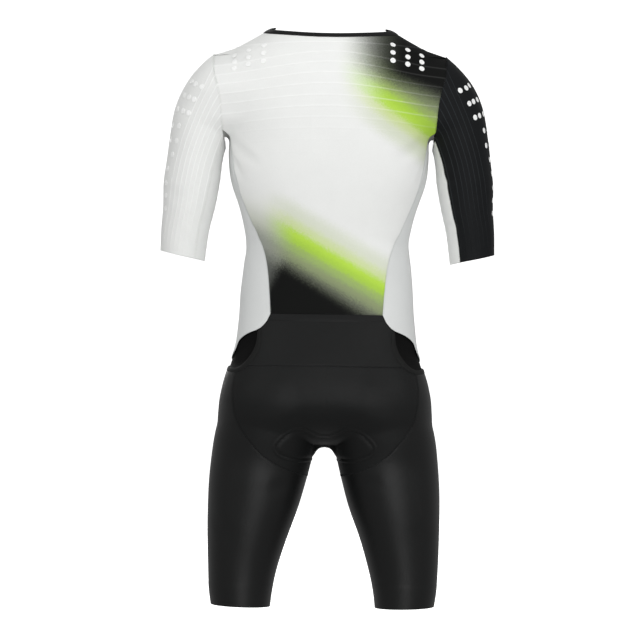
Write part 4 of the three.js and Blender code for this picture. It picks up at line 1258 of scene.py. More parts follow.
@dataclass(frozen=True)
class FadedKnit(Knit):
    """Knit with an airbrushed fade: black over one shoulder and across the small of the
    back, each edged with grey-green and a band of lime.

    Attributes:
        whole: Whether it has the fades of the back, or only the shoulder's black.
        black: The colour of the dense dye.
    """

    whole: bool = True
    black: str = "#0a0b0a"

    def colour_field(self, colours: Colours) -> Socket:
        """Lays the fades over the pale cloth, with the grain of sprayed dye.

        Each fade runs along a direction from a point of its line, in millimetres.
        """
        fine = colours.sum("MULTIPLY", colours.sum("SUBTRACT", colours.grain(1.0, 0.0), 0.5), 13.0)
        coarse = colours.sum("MULTIPLY", colours.sum("SUBTRACT", colours.grain(2.4, 1.0), 0.5), 7.0)
        spray = colours.sum("ADD", fine, coarse)

        def sprayed(direction: Sequence[float], start: Sequence[float] = (0, 0, 0)) -> Socket:
            return colours.sum("ADD", colours.along(direction, start), spray)

        rightward = sprayed((-1, 0, 0))
        if not self.whole:
            upward = colours.rise(sprayed((0, 0, 1)), -118, -58)
            cover = colours.sum("MULTIPLY", colours.rise(rightward, 46, 128), upward)
            return colours.mix(cover, linear(self.colour), linear(self.black))
        high = self._shoulder_fade(colours, sprayed, rightward)
        low = self._waist_fade(colours, sprayed, rightward)
        return colours.mix(colours.rise(colours.along((0, 0, 1)), -292, -246), low, high)

    def _shoulder_fade(self, colours: Colours, sprayed: Callable, rightward: Socket) -> Socket:
        """Black over the right shoulder, which runs down through grey and lime to pale."""
        band = colours.ramp(sprayed((-0.539, 0, 0.842), (-107, 0, -129)), (
            (-66, self.colour), (-38, "#d9dfcb"), (-20, "#cddc9c"), (-7, "#b4da4e"),
            (4, "#a9cf4b"), (17, "#97ac66"), (30, "#84906b"), (60, "#6f7466"),
        ))
        # The band and the black start only right of the middle, so the neck stays pale there
        area = colours.mix(colours.rise(rightward, 6, 100), linear(self.colour), band)
        above = colours.rise(sprayed((-0.342, 0, 0.94), (-92, 0, -70)), -40, 6)
        cover = colours.sum("MULTIPLY", above, colours.rise(rightward, 26, 122))
        return colours.mix(cover, area, linear(self.black))

    def _waist_fade(self, colours: Colours, sprayed: Callable, rightward: Socket) -> Socket:
        """A black wedge at the waist under a slanted band of lime, with a haze to its left."""
        below = sprayed((0.489, 0, -0.872), (12, 0, -373))
        band = colours.ramp(below, (
            (-60, self.colour), (-34, "#dbe0cf"), (-18, "#cfdda4"), (-6, "#b6dc4e"),
            (4, "#a9cf4c"), (15, "#9ab26a"), (28, "#8a966f"), (46, "#707565"), (66, "#42443f"),
        ))
        haze = colours.ramp(below, (
            (-70, self.colour), (-30, "#dde0d3"), (0, "#c3c7b8"), (30, "#989b93"), (62, "#5e605c"),
        ))
        depth = colours.rise(colours.along((0, 0, -1)), 262, 345)
        haze = colours.mix(depth, linear(self.colour), haze)
        area = colours.mix(colours.rise(rightward, -112, -50), haze, band)
        under = colours.rise(sprayed((0.527, 0, -0.85), (76, 0, -402)), -30, 3)
        beside = colours.rise(sprayed((-0.878, 0, -0.48), (80, 0, -410)), -18, 6)
        return colours.mix(colours.sum("MULTIPLY", under, beside), area, linear(self.black))

    def crest_highlight_colour(self, colours: Colours, dyed: Socket | tuple) -> Socket:
        """A crest's paler colour is a painted highlight along it, together with the undyed yarn that
        shows through where it stretches, least in the black.
        """
        share = colours.sum("ADD", colours.sum("MULTIPLY", dyed, 0.42), 0.025)
        return colours.mix(share, dyed, linear(self.rib))


@dataclass(frozen=True)
class Ribbing:
    """The height and the width of a panel's raised ribs."""

    height: float = 0.42
    width: float = 1.15

    def crest(self, off: Array) -> Array:
        """The rib's height at a distance from its crest, in millimetres."""
        return self.height * np.exp(-((off / self.width) ** 2) * 1.6)


@dataclass(frozen=True)
class Plain:
    """Moulded or painted small parts, and threads.

    Attributes:
        name: The material's name.
        colour: Its colour.
        roughness: How matt it is.
        metallic: 1 for bare metal.
        grain: The size of its fine unevenness, in millimetres.
        bump: How high that unevenness stands, in millimetres.
        coat: A clear coat over it.
    """

    name: str
    colour: str
    roughness: float = 0.5
    metallic: float = 0.0
    grain: float = 0.8
    bump: float = 0.03
    coat: float = 0.0

    def material(self) -> Material:
        """Builds the material."""
        material, shader, colours = start_material(self.name)
        tree = colours.tree
        base = linear(self.colour)
        worn = tuple(min(1.0, c * 1.25 + 0.004) for c in base[:3]) + (1.0,)
        wear = colours.rise(colours.grain(self.grain * 4, 3.0), 0.35, 0.75)
        tree.links.new(colours.mix(wear, base, worn), shader.inputs["Base Color"])
        bump = colours.bump(colours.grain(self.grain), self.bump, 0.6)
        tree.links.new(bump, shader.inputs["Normal"])
        shader.inputs["Roughness"].default_value = self.roughness
        shader.inputs["Metallic"].default_value = self.metallic
        shader.inputs["Coat Weight"].default_value = self.coat
        return material


PALE = "#edeeec"


class Wardrobe:
    """All finishes of the suit, built once."""

    def __init__(self) -> None:
        """Builds each material."""
        # Each rib colour paints a highlight along the ribs' crests, together with the paler stretched
        # yarn
        self.back = FadedKnit(
            "faded_ribbed_polyester_knit", PALE, sheen=0.0, shine=0.14, rib="#ffffff"
        ).material()
        self.front = FadedKnit(
            "pale_polyester_knit_black_shoulder", PALE, sheen=0.0, shine=0.14, whole=False
        ).material()
        self.front_plain = Knit("pale_polyester_knit", PALE).material()
        self.side = Knit("grey_polyester_mesh_knit", "#dadcdb", wale=1.7, bump=0.16).material()
        self.sleeve_pale = Knit("pale_ribbed_sleeve_knit", "#eaebe9", rib="#fdfefd").material()
        self.sleeve_black = Knit(
            "black_ribbed_sleeve_knit", "#0f1113", 0.62, sheen=0.0, mottle=0.06, shine=0.14,
            rib="#2c3033",
        ).material()
        # Warp-knitted shorts cloth, calendered, which gives it a soft satin light
        shorts = {"sheen": 0.0, "wale": 1.1, "bump": 0.07, "mottle": 0.06}
        self.shorts = Knit("black_satin_shorts_knit", "#0c0d0d", 0.44, shine=0.26, **shorts).material()
        # Knitted plainer than the legs, so it stays matt where it stretches
        self.seat = Knit("black_matt_seat_knit", "#101111", 0.54, shine=0.19, **shorts).material()
        self.binding = Knit(
            "black_elastic_binding", "#0a0b0a", 0.68, sheen=0.0, wale=0.9, bump=0.12, mottle=0.05
        ).material()
        # Open mesh, which swallows the light in the depth of the pocket
        self.backing = Knit(
            "black_pocket_mesh", "#0b0b0b", 0.8, sheen=0.0, wale=1.6, bump=0.2, shine=0.1
        ).material()
        self.pad = Knit("brushed_foam_pad", "#8d9395", 0.9, sheen=0.25, bump=0.2).material()
        self.tape = Knit("woven_zip_tape", "#141617", 0.7, wale=0.8, bump=0.12).material()
        self.teeth = Plain("moulded_acetal_zip_teeth", "#17191a", 0.45).material()
        # Die-cast zinc with black enamel, worn a little in patches
        self.enamel = Plain(
            "black_enamelled_zinc", "#202324", 0.3, grain=0.5, bump=0.01, coat=0.5
        ).material()
        self.pale_thread = Plain("pale_polyester_thread", "#d4d6d3", 0.6).material()
        self.grey_thread = Plain("grey_polyester_thread", "#b9bcbb", 0.6).material()
        self.black_thread = Plain("black_polyester_thread", "#17191a", 0.6).material()
        # Heat-pressed transfer film, which lies on the cloth like a thin smooth skin
        self.white_film = Plain("white_transfer_film", "#f1f2f1", 0.42, bump=0.01).material()
        self.pale_film = Plain("pale_transfer_film", "#f6f7f5", 0.42, bump=0.01).material()


# The pieces


def dress(piece: Piece, nodes: Sequence[str] = ()) -> None:
    """Says that a piece moves with the suit, and hides the CAD nodes that it stands for."""
    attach(piece, "suit")
    if nodes:
        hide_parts(*nodes)
    log.info("%s: %d faces", piece.name, len(piece.data.polygons))


def sew(
    cloth: Cloth, material: Material,
    side: Side = Side.LEFT,
) -> None:
    """Builds a panel, in place of the CAD node whose name its own name begins with."""
    node, _, _ = cloth.name.rpartition("_")
    piece = cloth.build(material, side)
    dress(piece, [node])


def outward(points: Array, lift: float) -> Array:
    """Points of the form moved out with the cloth's creases and a little more."""
    return points + FORM.normals(points) * (drape(points) + lift)[..., None]


@dataclass
class UpperBody:
    """The ribbed back, both fronts and both side panels.

    Attributes:
        clothes: The finishes.
        columns: How many columns the back has.
        ribs: The ribs' form.
    """

    clothes: Wardrobe
    columns: int = 116
    ribs: Ribbing = Ribbing()

    def rib_rows(self) -> list[tuple[float, float, float]]:
        """Rows of the back: height at the middle, share of the side edge, and rib height."""

        def share_at(z: float) -> float:
            return float(narrow(START, END, 30, lambda share: PATTERN.back_edge(share)[1] > z))

        def strength(z: float) -> float:
            return 1 - 0.85 * float(smooth_step(-110, -200, z))

        rows = [(PATTERN.openings.neck_back, 0.0, 0.0), (-22.0, share_at(-18), 0.0)]
        for number, (middle, edge) in enumerate(RIBS):
            if number == 1:
                rows.append((-36.0, PATTERN.back_share[0], 0.0))
            for off in (RIB_REACH, 0.0, -RIB_REACH):
                rows.append((middle + off, share_at(edge + off), 0.0 if off else strength(middle)))
        rows += [(z, share_at(z), 0.0) for z in (-236, -262, -290, -320, -350, -380, -410, -440)]
        return [*rows, (PATTERN.pocket_top, 1.0, 0.0)]

    def back(self) -> Cloth:
        """The ribbed back panel, from the neck to the pocket."""
        rows = np.array(self.rib_rows())
        stops = [0.0]
        for i, (upper, lower) in enumerate(zip(rows, rows[1:])):
            if upper[2] or lower[2]:
                shares = (0.38, 0.69, 1.0) if lower[2] else (0.31, 0.62, 1.0)
            else:
                count = max(1, round((upper[0] - lower[0]) / 3.2))
                shares = np.linspace(0, 1, count + 1)[1:]
            stops += [i + share for share in shares]
        last = len(rows) - 1.0
        top_edge, bottom_edge = (0.0, 0.12, 0.28, 0.5), (last - 0.07, last - 0.03, last)
        stops = np.array([*top_edge, *stops[1:-1], *bottom_edge])
        stops = np.unique(stops[(stops <= top_edge[-1]) | (stops >= 1)])
        order = np.arange(len(rows), dtype=float)

        def point(s: Array, t: Array) -> Array:
            middle = np.interp(t, order, rows[:, 0])
            edge = PATTERN.back_edge(np.interp(t, order, rows[:, 1]))
            angle = lerp(edge[..., 0], 180 - edge[..., 0], s)
            arch = np.abs(2 * s - 1) ** 2.2
            return BODY_CHART.point(pair(angle, lerp(middle, edge[..., 1], arch)))

        def relief(s: Array, t: Array, points: Array) -> Array:
            near = np.rint(t).astype(int)
            before, own, after = (rows[np.clip(near + k, 0, len(rows) - 1), 2] for k in (-1, 0, 1))
            off = (t - near) * RIB_REACH
            crest = self.ribs.crest
            beside = crest(RIB_REACH - off) * after + crest(RIB_REACH + off) * before
            return crest(off) * own + beside

        # How strongly the painted highlight colour shows on each crest, fading out low on the back
        def crest(s: Array, t: Array, points: Array) -> Array:
            shown = 1 - smooth_step(-125, -205, points[..., 2])
            return np.clip(relief(s, t, points) / self.ribs.height, 0, 1) * shown

        return Cloth(
            "back_panel_knit", point, edged(np.linspace(0, 1, self.columns + 1), 340), stops,
            relief=lambda *at: relief(*at) + frame_outline(at[-1]), crest=crest,
        )

    def build(self) -> None:
        """Builds the five panels."""
        sew(self.back(), self.clothes.back)
        front = BODY_CHART.surface(patch_between(
            PATTERN.neck_front, PATTERN.waist, PATTERN.front_edge, PATTERN.zip_edge
        ))
        beside = BODY_CHART.surface(patch_between(
            PATTERN.side_upper, PATTERN.side_lower, PATTERN.back_side, PATTERN.front_side
        ))
        for side, finish in ((Side.LEFT, self.clothes.front_plain), (Side.RIGHT, self.clothes.front)):
            name = side.name.lower()
            cloth = Cloth(f"front_{name}_knit", front, even(180), even(500))
            sew(cloth, finish, side)
            cloth = Cloth(f"side_{name}_knit", beside, even(150), even(330))
            sew(cloth, self.clothes.side, side)


def frame_outline(points: Array) -> Array:
    """The faint rounded outline pressed high on the back: how far it raises the cloth."""
    x, _, z = np.moveaxis(points, -1, 0)
    centre_x, centre_z, half_x, half_z, corner = -10.0, -159.0, 39.0, 54.0, 12.0
    dx = np.abs(x - centre_x) - (half_x - corner)
    dz = np.abs(z - centre_z) - (half_z - corner)
    beyond = np.hypot(np.maximum(dx, 0), np.maximum(dz, 0))
    outside = beyond + np.minimum(np.maximum(dx, dz), 0) - corner
    return 0.16 * np.exp(-((outside / 1.4) ** 2))


@dataclass
class Sleeve:
    """One short sleeve: the ribbed outer panel and the strip under the arm.

    Attributes:
        side: Which arm it is on.
        clothes: The finishes.
        ribs: The ribs' form.
    """

    side: Side
    clothes: Wardrobe
    ribs: Ribbing = Ribbing(height=0.45)

    def stops(self) -> tuple[Array, Array]:
        """The turns of the sleeve's columns, and those of its ribs."""
        hole = PATTERN.armhole
        ribs = np.array(PATTERN.sleeve_ribs)
        over = ribs[:, None] + RIB_TURN * np.array([-1, -0.62, -0.31, 0, 0.31, 0.62, 1])
        edges = np.sort([hole.underarm_turn, 180 - hole.underarm_turn, *over.ravel()])
        turns = [edges[0]]
        for start, end in zip(edges, edges[1:]):
            count = max(1, round((end - start) / 2.7))
            turns += list(np.linspace(start, end, count + 1)[1:])
        turns = np.array(turns)
        near = np.array([0.6, 1.3])
        turns = np.unique(np.concatenate([turns, turns[0] + near, turns[-1] - near]))
        return turns, ribs

    def outer(self) -> Cloth:
        """The outer panel, with its ribs running down the arm."""
        hole = PATTERN.armhole
        turns, ribs = self.stops()
        span = 180 - 2 * hole.underarm_turn
        pitch = 1.15

        def relief(s: Array, t: Array, points: Array) -> Array:
            turn = hole.underarm_turn + s * span
            off = np.min(np.abs(turn[..., None] - ribs), axis=-1) * pitch
            return self.ribs.crest(off) * (1 - smooth_step(0.9, 1.0, t))

        # How strongly the painted highlight colour shows on each crest, fading out down the sleeve
        def crest(s: Array, t: Array, points: Array) -> Array:
            return relief(s, t, points) / self.ribs.height * (1 - smooth_step(0.35, 1.0, t))

        return Cloth(
            f"sleeve_outer_{self.side.name.lower()}_knit", ARM_CHART.surface(PATTERN.sleeve),
            (turns - hole.underarm_turn) / span, even(290, 3.2),
            relief=relief, open_edges="b", crest=crest,
        )

    def build(self) -> None:
        """Builds both panels."""
        dark = self.side is Side.RIGHT
        material = self.clothes.sleeve_black if dark else self.clothes.sleeve_pale
        sew(self.outer(), material, self.side)
        strip = Cloth(
            f"sleeve_inner_{self.side.name.lower()}_knit", ARM_CHART.surface(PATTERN.strip),
            even(70), even(210), relief=self._slant, open_edges="b",
        )
        sew(strip, self.clothes.sleeve_pale, self.side)

    def _slant(self, s: Array, t: Array, points: Array) -> Array:
        """Low ribs that rise across the strip."""
        _, y, z = np.moveaxis(points, -1, 0)
        pitch, slant = 16.0, 0.55
        phase = (z + slant * y) / pitch
        off = np.abs(phase - np.rint(phase)) * pitch * 0.87
        return 0.4 * np.exp(-((off / 1.5) ** 2) * 1.4)


@dataclass
class RearPocket:
    """The pocket across the small of the back, its two bound mouths and its back layer."""

    clothes: Wardrobe
    band: float = 10.0

    def build(self) -> None:
        """Builds the panel, the layer behind it and both bindings."""
        height = PATTERN.pocket_top - PATTERN.pocket_bottom
        share = self.band / height

        def relief(s: Array, t: Array, points: Array) -> Array:
            lip = 0.55 * (1 - smooth_step(share - 0.012, share + 0.012, t))
            stitched = -0.25 * np.exp(-(((t - share) * height / 1.1) ** 2))
            low = 0.3 * smooth_step(0.93, 0.96, t)
            return lip + stitched + low

        down = np.unique([*even(90, 2.6), share - 0.012, share, share + 0.012])
        cloth = Cloth(
            "pocket_panel_knit", BODY_CHART.surface(PATTERN.pocket), even(250), down, relief=relief
        )
        sew(cloth, self.clothes.seat)
        backing = Cloth(
            "pocket_backing_mesh", BODY_CHART.surface(PATTERN.backing), even(380, 4), even(100, 4),
            depth=self._depth, thickness=0.8, open_edges="tblr", roll=0,
        )
        sew(backing, self.clothes.backing)
        for side in Side:
            binding = Cloth(
                f"pocket_binding_{side.name.lower()}_elastic", BODY_CHART.surface(PATTERN.band),
                np.linspace(0, 1, 9), even(110, 2.5), thickness=1.4,
                relief=lambda s, t, points: 0.2 + 0.8 * hump(s) ** 0.7 * smooth_step(1.0, 0.75, t),
            )
            sew(binding, self.clothes.binding, side)

    @staticmethod
    def _depth(s: Array, t: Array) -> Array:
        """How far the layer behind the pocket hangs back from the form's face."""
        reach = np.abs(2 * s - 1)
        hollow = smooth_step(0, 0.4, t) * smooth_step(1, 0.6, t) * smooth_step(0.98, 0.7, reach)
        plain = 3.4 + 1.5 * smooth_step(0.5, 0.9, t)
        return lerp(plain, 1.7, smooth_step(0.68, 0.86, reach)) + 5.5 * hollow


@dataclass
class Shorts:
    """The seat, both legs and the pad inside."""

    clothes: Wardrobe
    lobe: Array = field(init=False)

    def __post_init__(self) -> None:
        """Lays out one lobe of the pad, as distance from the middle and height."""
        self.lobe = path_through((
            (0, -674), (9, -674), (24, -667), (38, -661.5), (54, -665.5), (70, -676.5),
            (79, -689), (75, -699), (62, -706), (45, -709.5), (28, -709.5),
            (12, -708), (0, -707),
        ))(np.linspace(0, 1, 160))

    def pad_distance(self, points: Array) -> Array:
        """How far points of the seat are inside the pad's outline, seen from behind."""
        places = np.stack([np.abs(points[..., 0]), points[..., 2]], axis=-1)
        starts, ends = self.lobe[:-1], self.lobe[1:]
        flat = places.reshape(-1, 2)
        near = np.flatnonzero((flat[:, 1] > -728) & (flat[:, 1] < -645) & (flat[:, 0] < 98))
        distance = np.full(len(flat), -20.0)
        off = flat[near][:, None] - starts
        along = ends - starts
        share = np.clip((off * along).sum(-1) / (along**2).sum(-1), 0, 1)
        gap = np.linalg.norm(off - share[..., None] * along, axis=-1).min(1)
        x, z = flat[near, 0][:, None], flat[near, 1][:, None]
        spans = (starts[:, 1] > z) != (ends[:, 1] > z)
        rise = np.where(np.abs(along[:, 1]) < 1e-9, 1e-9, along[:, 1])
        meets = starts[:, 0] + (z - starts[:, 1]) / rise * along[:, 0]
        crossings = (spans & (meets > x)).sum(1)
        distance[near] = np.where(crossings % 2 == 1, gap, -gap)
        return distance.reshape(places.shape[:-1])

    def seat_relief(self, s: Array, t: Array, points: Array) -> Array:
        """The pad's lobes showing through the seat, with a flange round them."""
        inside = self.pad_distance(points)
        behind = points[..., 1] > -2
        lobe = 1.5 * smooth_step(0, 7, inside)
        flange = 0.8 * smooth_step(-5.6, -4.2, inside) * (1 - smooth_step(-1.8, -0.2, inside))
        groove = 0.75 * np.exp(-((inside / 1.1) ** 2)) + 0.4 * np.exp(-(((inside + 6.4) / 1.1) ** 2))
        return np.where(behind, lobe + flange - groove, 0.0)

    def build(self) -> None:
        """Builds the seat, the legs and the pad."""
        seat = Cloth(
            "seat_panel_knit", PATTERN.seat_point, even(350, 2.3), even(210, 2.0),
            relief=self.seat_relief,
        )
        sew(seat, self.clothes.seat)
        for side in Side:
            leg = Cloth(
                f"leg_{side.name.lower()}_knit", LEG_CHART.surface(PATTERN.leg),
                even(560, 3.6), even(350, 3.2), relief=self._hem, open_edges="b",
            )
            sew(leg, self.clothes.shorts, side)
        self.pad()

    @staticmethod
    def _hem(s: Array, t: Array, points: Array) -> Array:
        """A grip band at the hem, bonded inside, that shows as a faint step."""
        return 0.25 * smooth_step(-914, -917, points[..., 2])

    def pad(self) -> None:
        """The foam pad sewn inside the seat."""
        across, down = np.linspace(0, 1, 61), np.linspace(0, 1, 25)
        s, t = np.meshgrid(across, down)
        base = PATTERN.seat_point(0.5 + (s - 0.5) * 0.75, lerp(0.74, 0.975, t))
        normals = FORM.normals(base)
        bulk = np.sqrt(np.clip(hump(s) * hump(t), 0, 1))
        channel = 1 - 0.35 * np.exp(-(((s - 0.5) / 0.035) ** 2))
        outer = base - normals * 3.4
        inner = base - normals * (4.6 + 5.2 * bulk * channel)[..., None]
        piece = shell("seat_pad_foam", outer, inner, normals, self.clothes.pad)
        dress(piece, ["seat_pad"])


@dataclass
class NeckBinding:
    """The folded elastic that binds the neck, open only where the zip runs up."""

    clothes: Wardrobe

    def angles(self) -> Array:
        """The angles round the neck, from the zip's left edge to its right."""
        end = float(PATTERN.zip_edge(START)[0])
        shoulder = PATTERN.shoulder_angle
        return np.concatenate([
            np.linspace(end, shoulder, 60)[:-1],
            np.linspace(shoulder, 180 - shoulder, 150),
            np.linspace(180 - shoulder, 180 - end, 60)[1:],
        ])

    def seam_height(self, angle: Array) -> Array:
        """The height of the neck seam at the given angles."""
        shoulder = PATTERN.shoulder_angle
        folded = np.where(angle > 90, 180 - angle, angle)
        end = PATTERN.zip_edge(START)
        share = np.clip((shoulder - folded) / (shoulder - end[0]), 0, 1)
        front = PATTERN.neck_front(share)[..., 1]
        across = (folded - shoulder) / (180 - 2 * shoulder)
        arch = np.abs(2 * across - 1) ** 2.2
        back = lerp(PATTERN.openings.neck_back, PATTERN.neck_corner[1], arch)
        return np.where(folded < shoulder, front, back)

    def build(self) -> None:
        """Builds the binding, rounded over its top edge."""
        angles = self.angles()
        stops = (angles - angles[0]) / (angles[-1] - angles[0])

        def point(s: Array, t: Array) -> Array:
            angle = np.interp(s, stops, angles)
            rise = (1 - t) * PATTERN.openings.binding_rise
            return BODY_CHART.point(pair(angle, self.seam_height(angle) + rise))

        binding = Cloth(
            "neck_binding_elastic", point, stops,
            np.array([0, 0.06, 0.16, 0.35, 0.55, 0.75, 0.88, 1.0]),
            relief=lambda s, t, points: 0.1 + 0.85 * hump(0.06 + 0.88 * t) ** 0.6,
            thickness=1.7, open_edges="tblr", roll=0,
        )
        sew(binding, self.clothes.binding)


@dataclass
class Zip:
    """The front zip: its tape, its teeth and the finish of its slider and pull."""

    clothes: Wardrobe
    tape_half_width: float = 13.0
    tooth_pitch: float = 2.1
    slider_z: float = -99.0

    def build(self) -> None:
        """Builds the tape and teeth, and finishes the CAD slider and pull."""
        top = float(PATTERN.zip_edge(START)[1])
        end = PATTERN.zip_end

        def strip(s: Array, t: Array) -> Array:
            x = lerp(-self.tape_half_width, self.tape_half_width, s)
            return on_face(x, lerp(top - 1, end - 8, t), -1)

        tape = Cloth(
            "zip_tape_woven", strip, np.linspace(0, 1, 15), np.linspace(0, 1, 130),
            depth=2.3, thickness=0.7, open_edges="tblr", roll=0,
            relief=lambda s, t, points: 0.35 * np.exp(-(((np.abs(points[..., 0]) - 4.2) / 1.1) ** 2)),
        )
        sew(tape, self.clothes.tape)
        self.teeth(top + 3, end)
        for node in ("zip_slider", "zip_pull"):
            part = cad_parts[node]
            part.data.materials.clear()
            part.data.materials.append(self.clothes.enamel)
            bevel = part.modifiers.new("rounded_edges", "BEVEL")
            bevel.width, bevel.segments = 0.35 * MM, 2

    def teeth(self, top: float, end: float) -> None:
        """Moulded teeth in two rows, meshed below the slider and parted above it."""
        heights = np.arange(top, end, -self.tooth_pitch / 2)
        line = on_face(np.zeros_like(heights), heights, -1)
        seats, normals = outward(line, 0.0), FORM.normals(line)
        down = unit(np.gradient(seats, axis=0))
        # How far each ring of a tooth reaches past the middle, and its half height
        reach, half = np.array([(-3.3, 0.55), (-1.6, 0.62), (-0.2, 0.42), (0.55, 0.66), (0.95, 0.38)]).T
        sides, sunk = 6, 0.35
        angles = np.arange(sides) * math.pi / 3 + math.pi / 6
        cosines, sines = (part(angles) * half[:, None] for part in (np.cos, np.sin))
        points, faces = [], []
        for i, (seat, normal, along) in enumerate(zip(seats, normals, down)):
            sign = 1 if i % 2 else -1
            across = np.cross(along, normal)
            parted = 2.2 * float(smooth_step(self.slider_z + 4, top, seat[2]))
            tooth = seat + across * (sign * (parted - reach))[:, None, None]
            tooth = tooth + along * cosines[..., None] + normal * (sines * 1.3 - sunk)[..., None]
            faces += ring_faces(len(reach), sides, i * len(reach) * sides)
            points.append(tooth.reshape(-1, 3))
        piece = make_object("zip_teeth_moulded", np.vstack(points), faces, self.clothes.teeth)
        recalculate(piece)
        dress(piece, ["zip_teeth"])


def recalculate(piece: Piece) -> None:
    """Turns the faces of a mesh of closed parts outward."""
    made = bmesh.new()
    made.from_mesh(piece.data)
    bmesh.ops.recalc_face_normals(made, faces=made.faces)
    made.to_mesh(piece.data)
    made.free()


@dataclass
class Stitching:
    """Flatlock threads that bridge the seams.

    Attributes:
        clothes: The finishes.
        pitch: The length of one stitch. A real 1.4 mm stitch is drawn at 2.6 mm.
        width: How far the thread reaches to each side of the seam.
        radius: The thread's radius.
    """

    clothes: Wardrobe
    pitch: float = 2.6
    width: float = 1.9
    radius: float = 0.2

    def zigzag(self, seam: Array, side: Side) -> Array:
        """A thread's points, to and fro across a seam that is given on the wearer's left."""
        reach = np.append(0, np.cumsum(np.linalg.norm(np.diff(seam, axis=0), axis=1)))
        count = max(4, int(reach[-1] / (self.pitch / 2)))
        stops = np.linspace(1.0, reach[-1] - 1.0, count)
        base = np.stack([np.interp(stops, reach, c) for c in seam.T], axis=-1)
        normals = FORM.normals(base)
        along = unit(np.gradient(base, axis=0))
        across = np.cross(along, normals)
        swing = np.where(np.arange(count) % 2, 1.0, -1.0)[:, None] * self.width
        if side is Side.RIGHT:
            flip = np.array([-1, 1, 1])
            base, normals, across = base * flip, normals * flip, across * flip
        lift = drape(base)[:, None] + 0.22
        return base + across * swing + normals * lift

    def run(self, name: str, seams: Sequence, material: Material) -> None:
        """Makes one piece of all threads of a colour, from seams and their sides."""
        points, faces = tubes([self.zigzag(seam, side) for seam, side in seams], self.radius, 3)
        dress(make_object(name, points, faces, material))

    def build(self) -> None:
        """Sews every seam that shows."""
        share, hole = np.linspace(0, 1, 120), PATTERN.armhole
        under, top = hole.underarm_turn, PATTERN.pocket_top
        pocket_top = straight((float(PATTERN.side_lower(START)[0]), top), (90, top))

        def on(chart: Chart, *routes: Route) -> list[Array]:
            return [chart.point(route(share)) for route in routes]

        def both(*seams: Array) -> list[tuple[Array, Side]]:
            return [(seam, side) for seam in seams for side in Side]

        shoulder, front_side, back_side, waist, seat_top = on(
            BODY_CHART,
            PATTERN.shoulder, PATTERN.front_side, PATTERN.back_side, PATTERN.waist, PATTERN.seat_top,
        )
        strips = on(ARM_CHART, PATTERN.under_front, PATTERN.under_back)
        seat, centre_front = on(LEG_CHART, PATTERN.seat_seam, PATTERN.centre_front)
        pocket = BODY_CHART.point(pocket_top(np.linspace(0, 1, 60)))
        armhole = hole.point(np.linspace(under, 180 - under, 240))
        under_arm = hole.point(np.linspace(under, -180 - under, 60))
        pale, grey, black = (
            [(shoulder, Side.LEFT), (armhole, Side.LEFT), *both(front_side, *strips)],
            both(back_side, under_arm),
            [
                (shoulder, Side.RIGHT), (armhole, Side.RIGHT), *both(waist, seat, seat_top, pocket),
                (centre_front, Side.LEFT),
            ],
        )
        self.run("flatlock_thread_pale", pale, self.clothes.pale_thread)
        self.run("flatlock_thread_grey", grey, self.clothes.grey_thread)
        self.run("flatlock_thread_black", black, self.clothes.black_thread)


@dataclass
class TransferDots:
    """Round spots of transfer film, in even rows over the shoulders and down the sleeves.

    Attributes:
        clothes: The finishes.
        radius: A spot's radius.
    """

    clothes: Wardrobe
    radius: float = 4.6

    def spot(self, centre: Array) -> tuple[Array, list]:
        """The points and faces of a thin disc round a point of the form."""
        normal = FORM.normals(centre[None])[0]
        across = unit(np.cross(normal, np.array([0.0, 0.0, 1.0])))
        above = np.cross(normal, across)
        rings, sides = self.radius * np.array([0.5, 0.85, 1.0]), 24
        angles = np.arange(sides) * 2 * math.pi / sides
        ring = across * np.cos(angles)[:, None] + above * np.sin(angles)[:, None]
        points = np.vstack([centre, (centre + rings[:, None, None] * ring).reshape(-1, 3)])
        for _ in range(3):
            points = points - normal * FORM.field(*points.T)[:, None]
        faces = [[0, 1 + k, 1 + (k + 1) % sides] for k in range(sides)]
        for start in (1, 1 + sides):
            for k in range(sides):
                a, b = start + k, start + (k + 1) % sides
                faces.append([a, a + sides, b + sides, b])
        return points, faces

    def shoulder_places(self, side: Side) -> Array:
        """Three columns of three over the shoulder blade, from the neck outward."""
        shift, drop = (7.0, 4.0) if side is Side.LEFT else (0.0, 0.0)
        columns = ((102, -30.5, 13.6), (126.5, -38.5, 12.2), (149.5, -47, 11.2))
        return np.array([
            on_face(x + shift, z - drop - row * step, 1) for x, z, step in columns for row in range(3)
        ])

    def sleeve_places(self, side: Side) -> Array:
        """Rows round the outside of the sleeve: three wide, then two, then one."""
        rows = (
            # height, rise of each next spot, turns toward the back, more turn on the left
            (-104, 5.0, (70, 55, 42), 4), (-124.6, 4.0, (59, 47, 31), 8),
            (-146.9, 3.8, (53.5, 40, 21.5), 10), (-167, 1.7, (33, 8), 15), (-191.5, 1.6, (33, 8), 16),
            (-214, 0.0, (20,), 22), (-237, 0.0, (15,), 16), (-260, 0.0, (14,), 17),
            (-281, 0.0, (16,), 15), (-302, 0.0, (17,), 14),
        )
        places = [
            (turn + (more if side is Side.LEFT else 0), z + k * rise)
            for z, rise, turns, more in rows
            for k, turn in enumerate(turns)
        ]
        return ARM_CHART.point(np.array(places, float))

    def build(self) -> None:
        """Presses the spots on, white on the black side and pale on the other."""
        for side, film in ((Side.LEFT, self.clothes.pale_film), (Side.RIGHT, self.clothes.white_film)):
            all_points, all_faces = [], []
            for centre in np.vstack([self.shoulder_places(side), self.sleeve_places(side)]):
                points, faces = self.spot(centre)
                if side is Side.RIGHT:
                    points = points * (-1, 1, 1)
                    faces = [face[::-1] for face in faces]
                start = len(all_points)
                all_faces += [[k + start for k in face] for face in faces]
                all_points += list(outward(points, 0.62))
            name = f"transfer_dots_{side.name.lower()}"
            piece = make_object(name, np.array(all_points), all_faces, film)
            solid = piece.modifiers.new("film", "SOLIDIFY")
            solid.thickness, solid.offset = 0.55 * MM, -1.0
            dress(piece)


# The studio


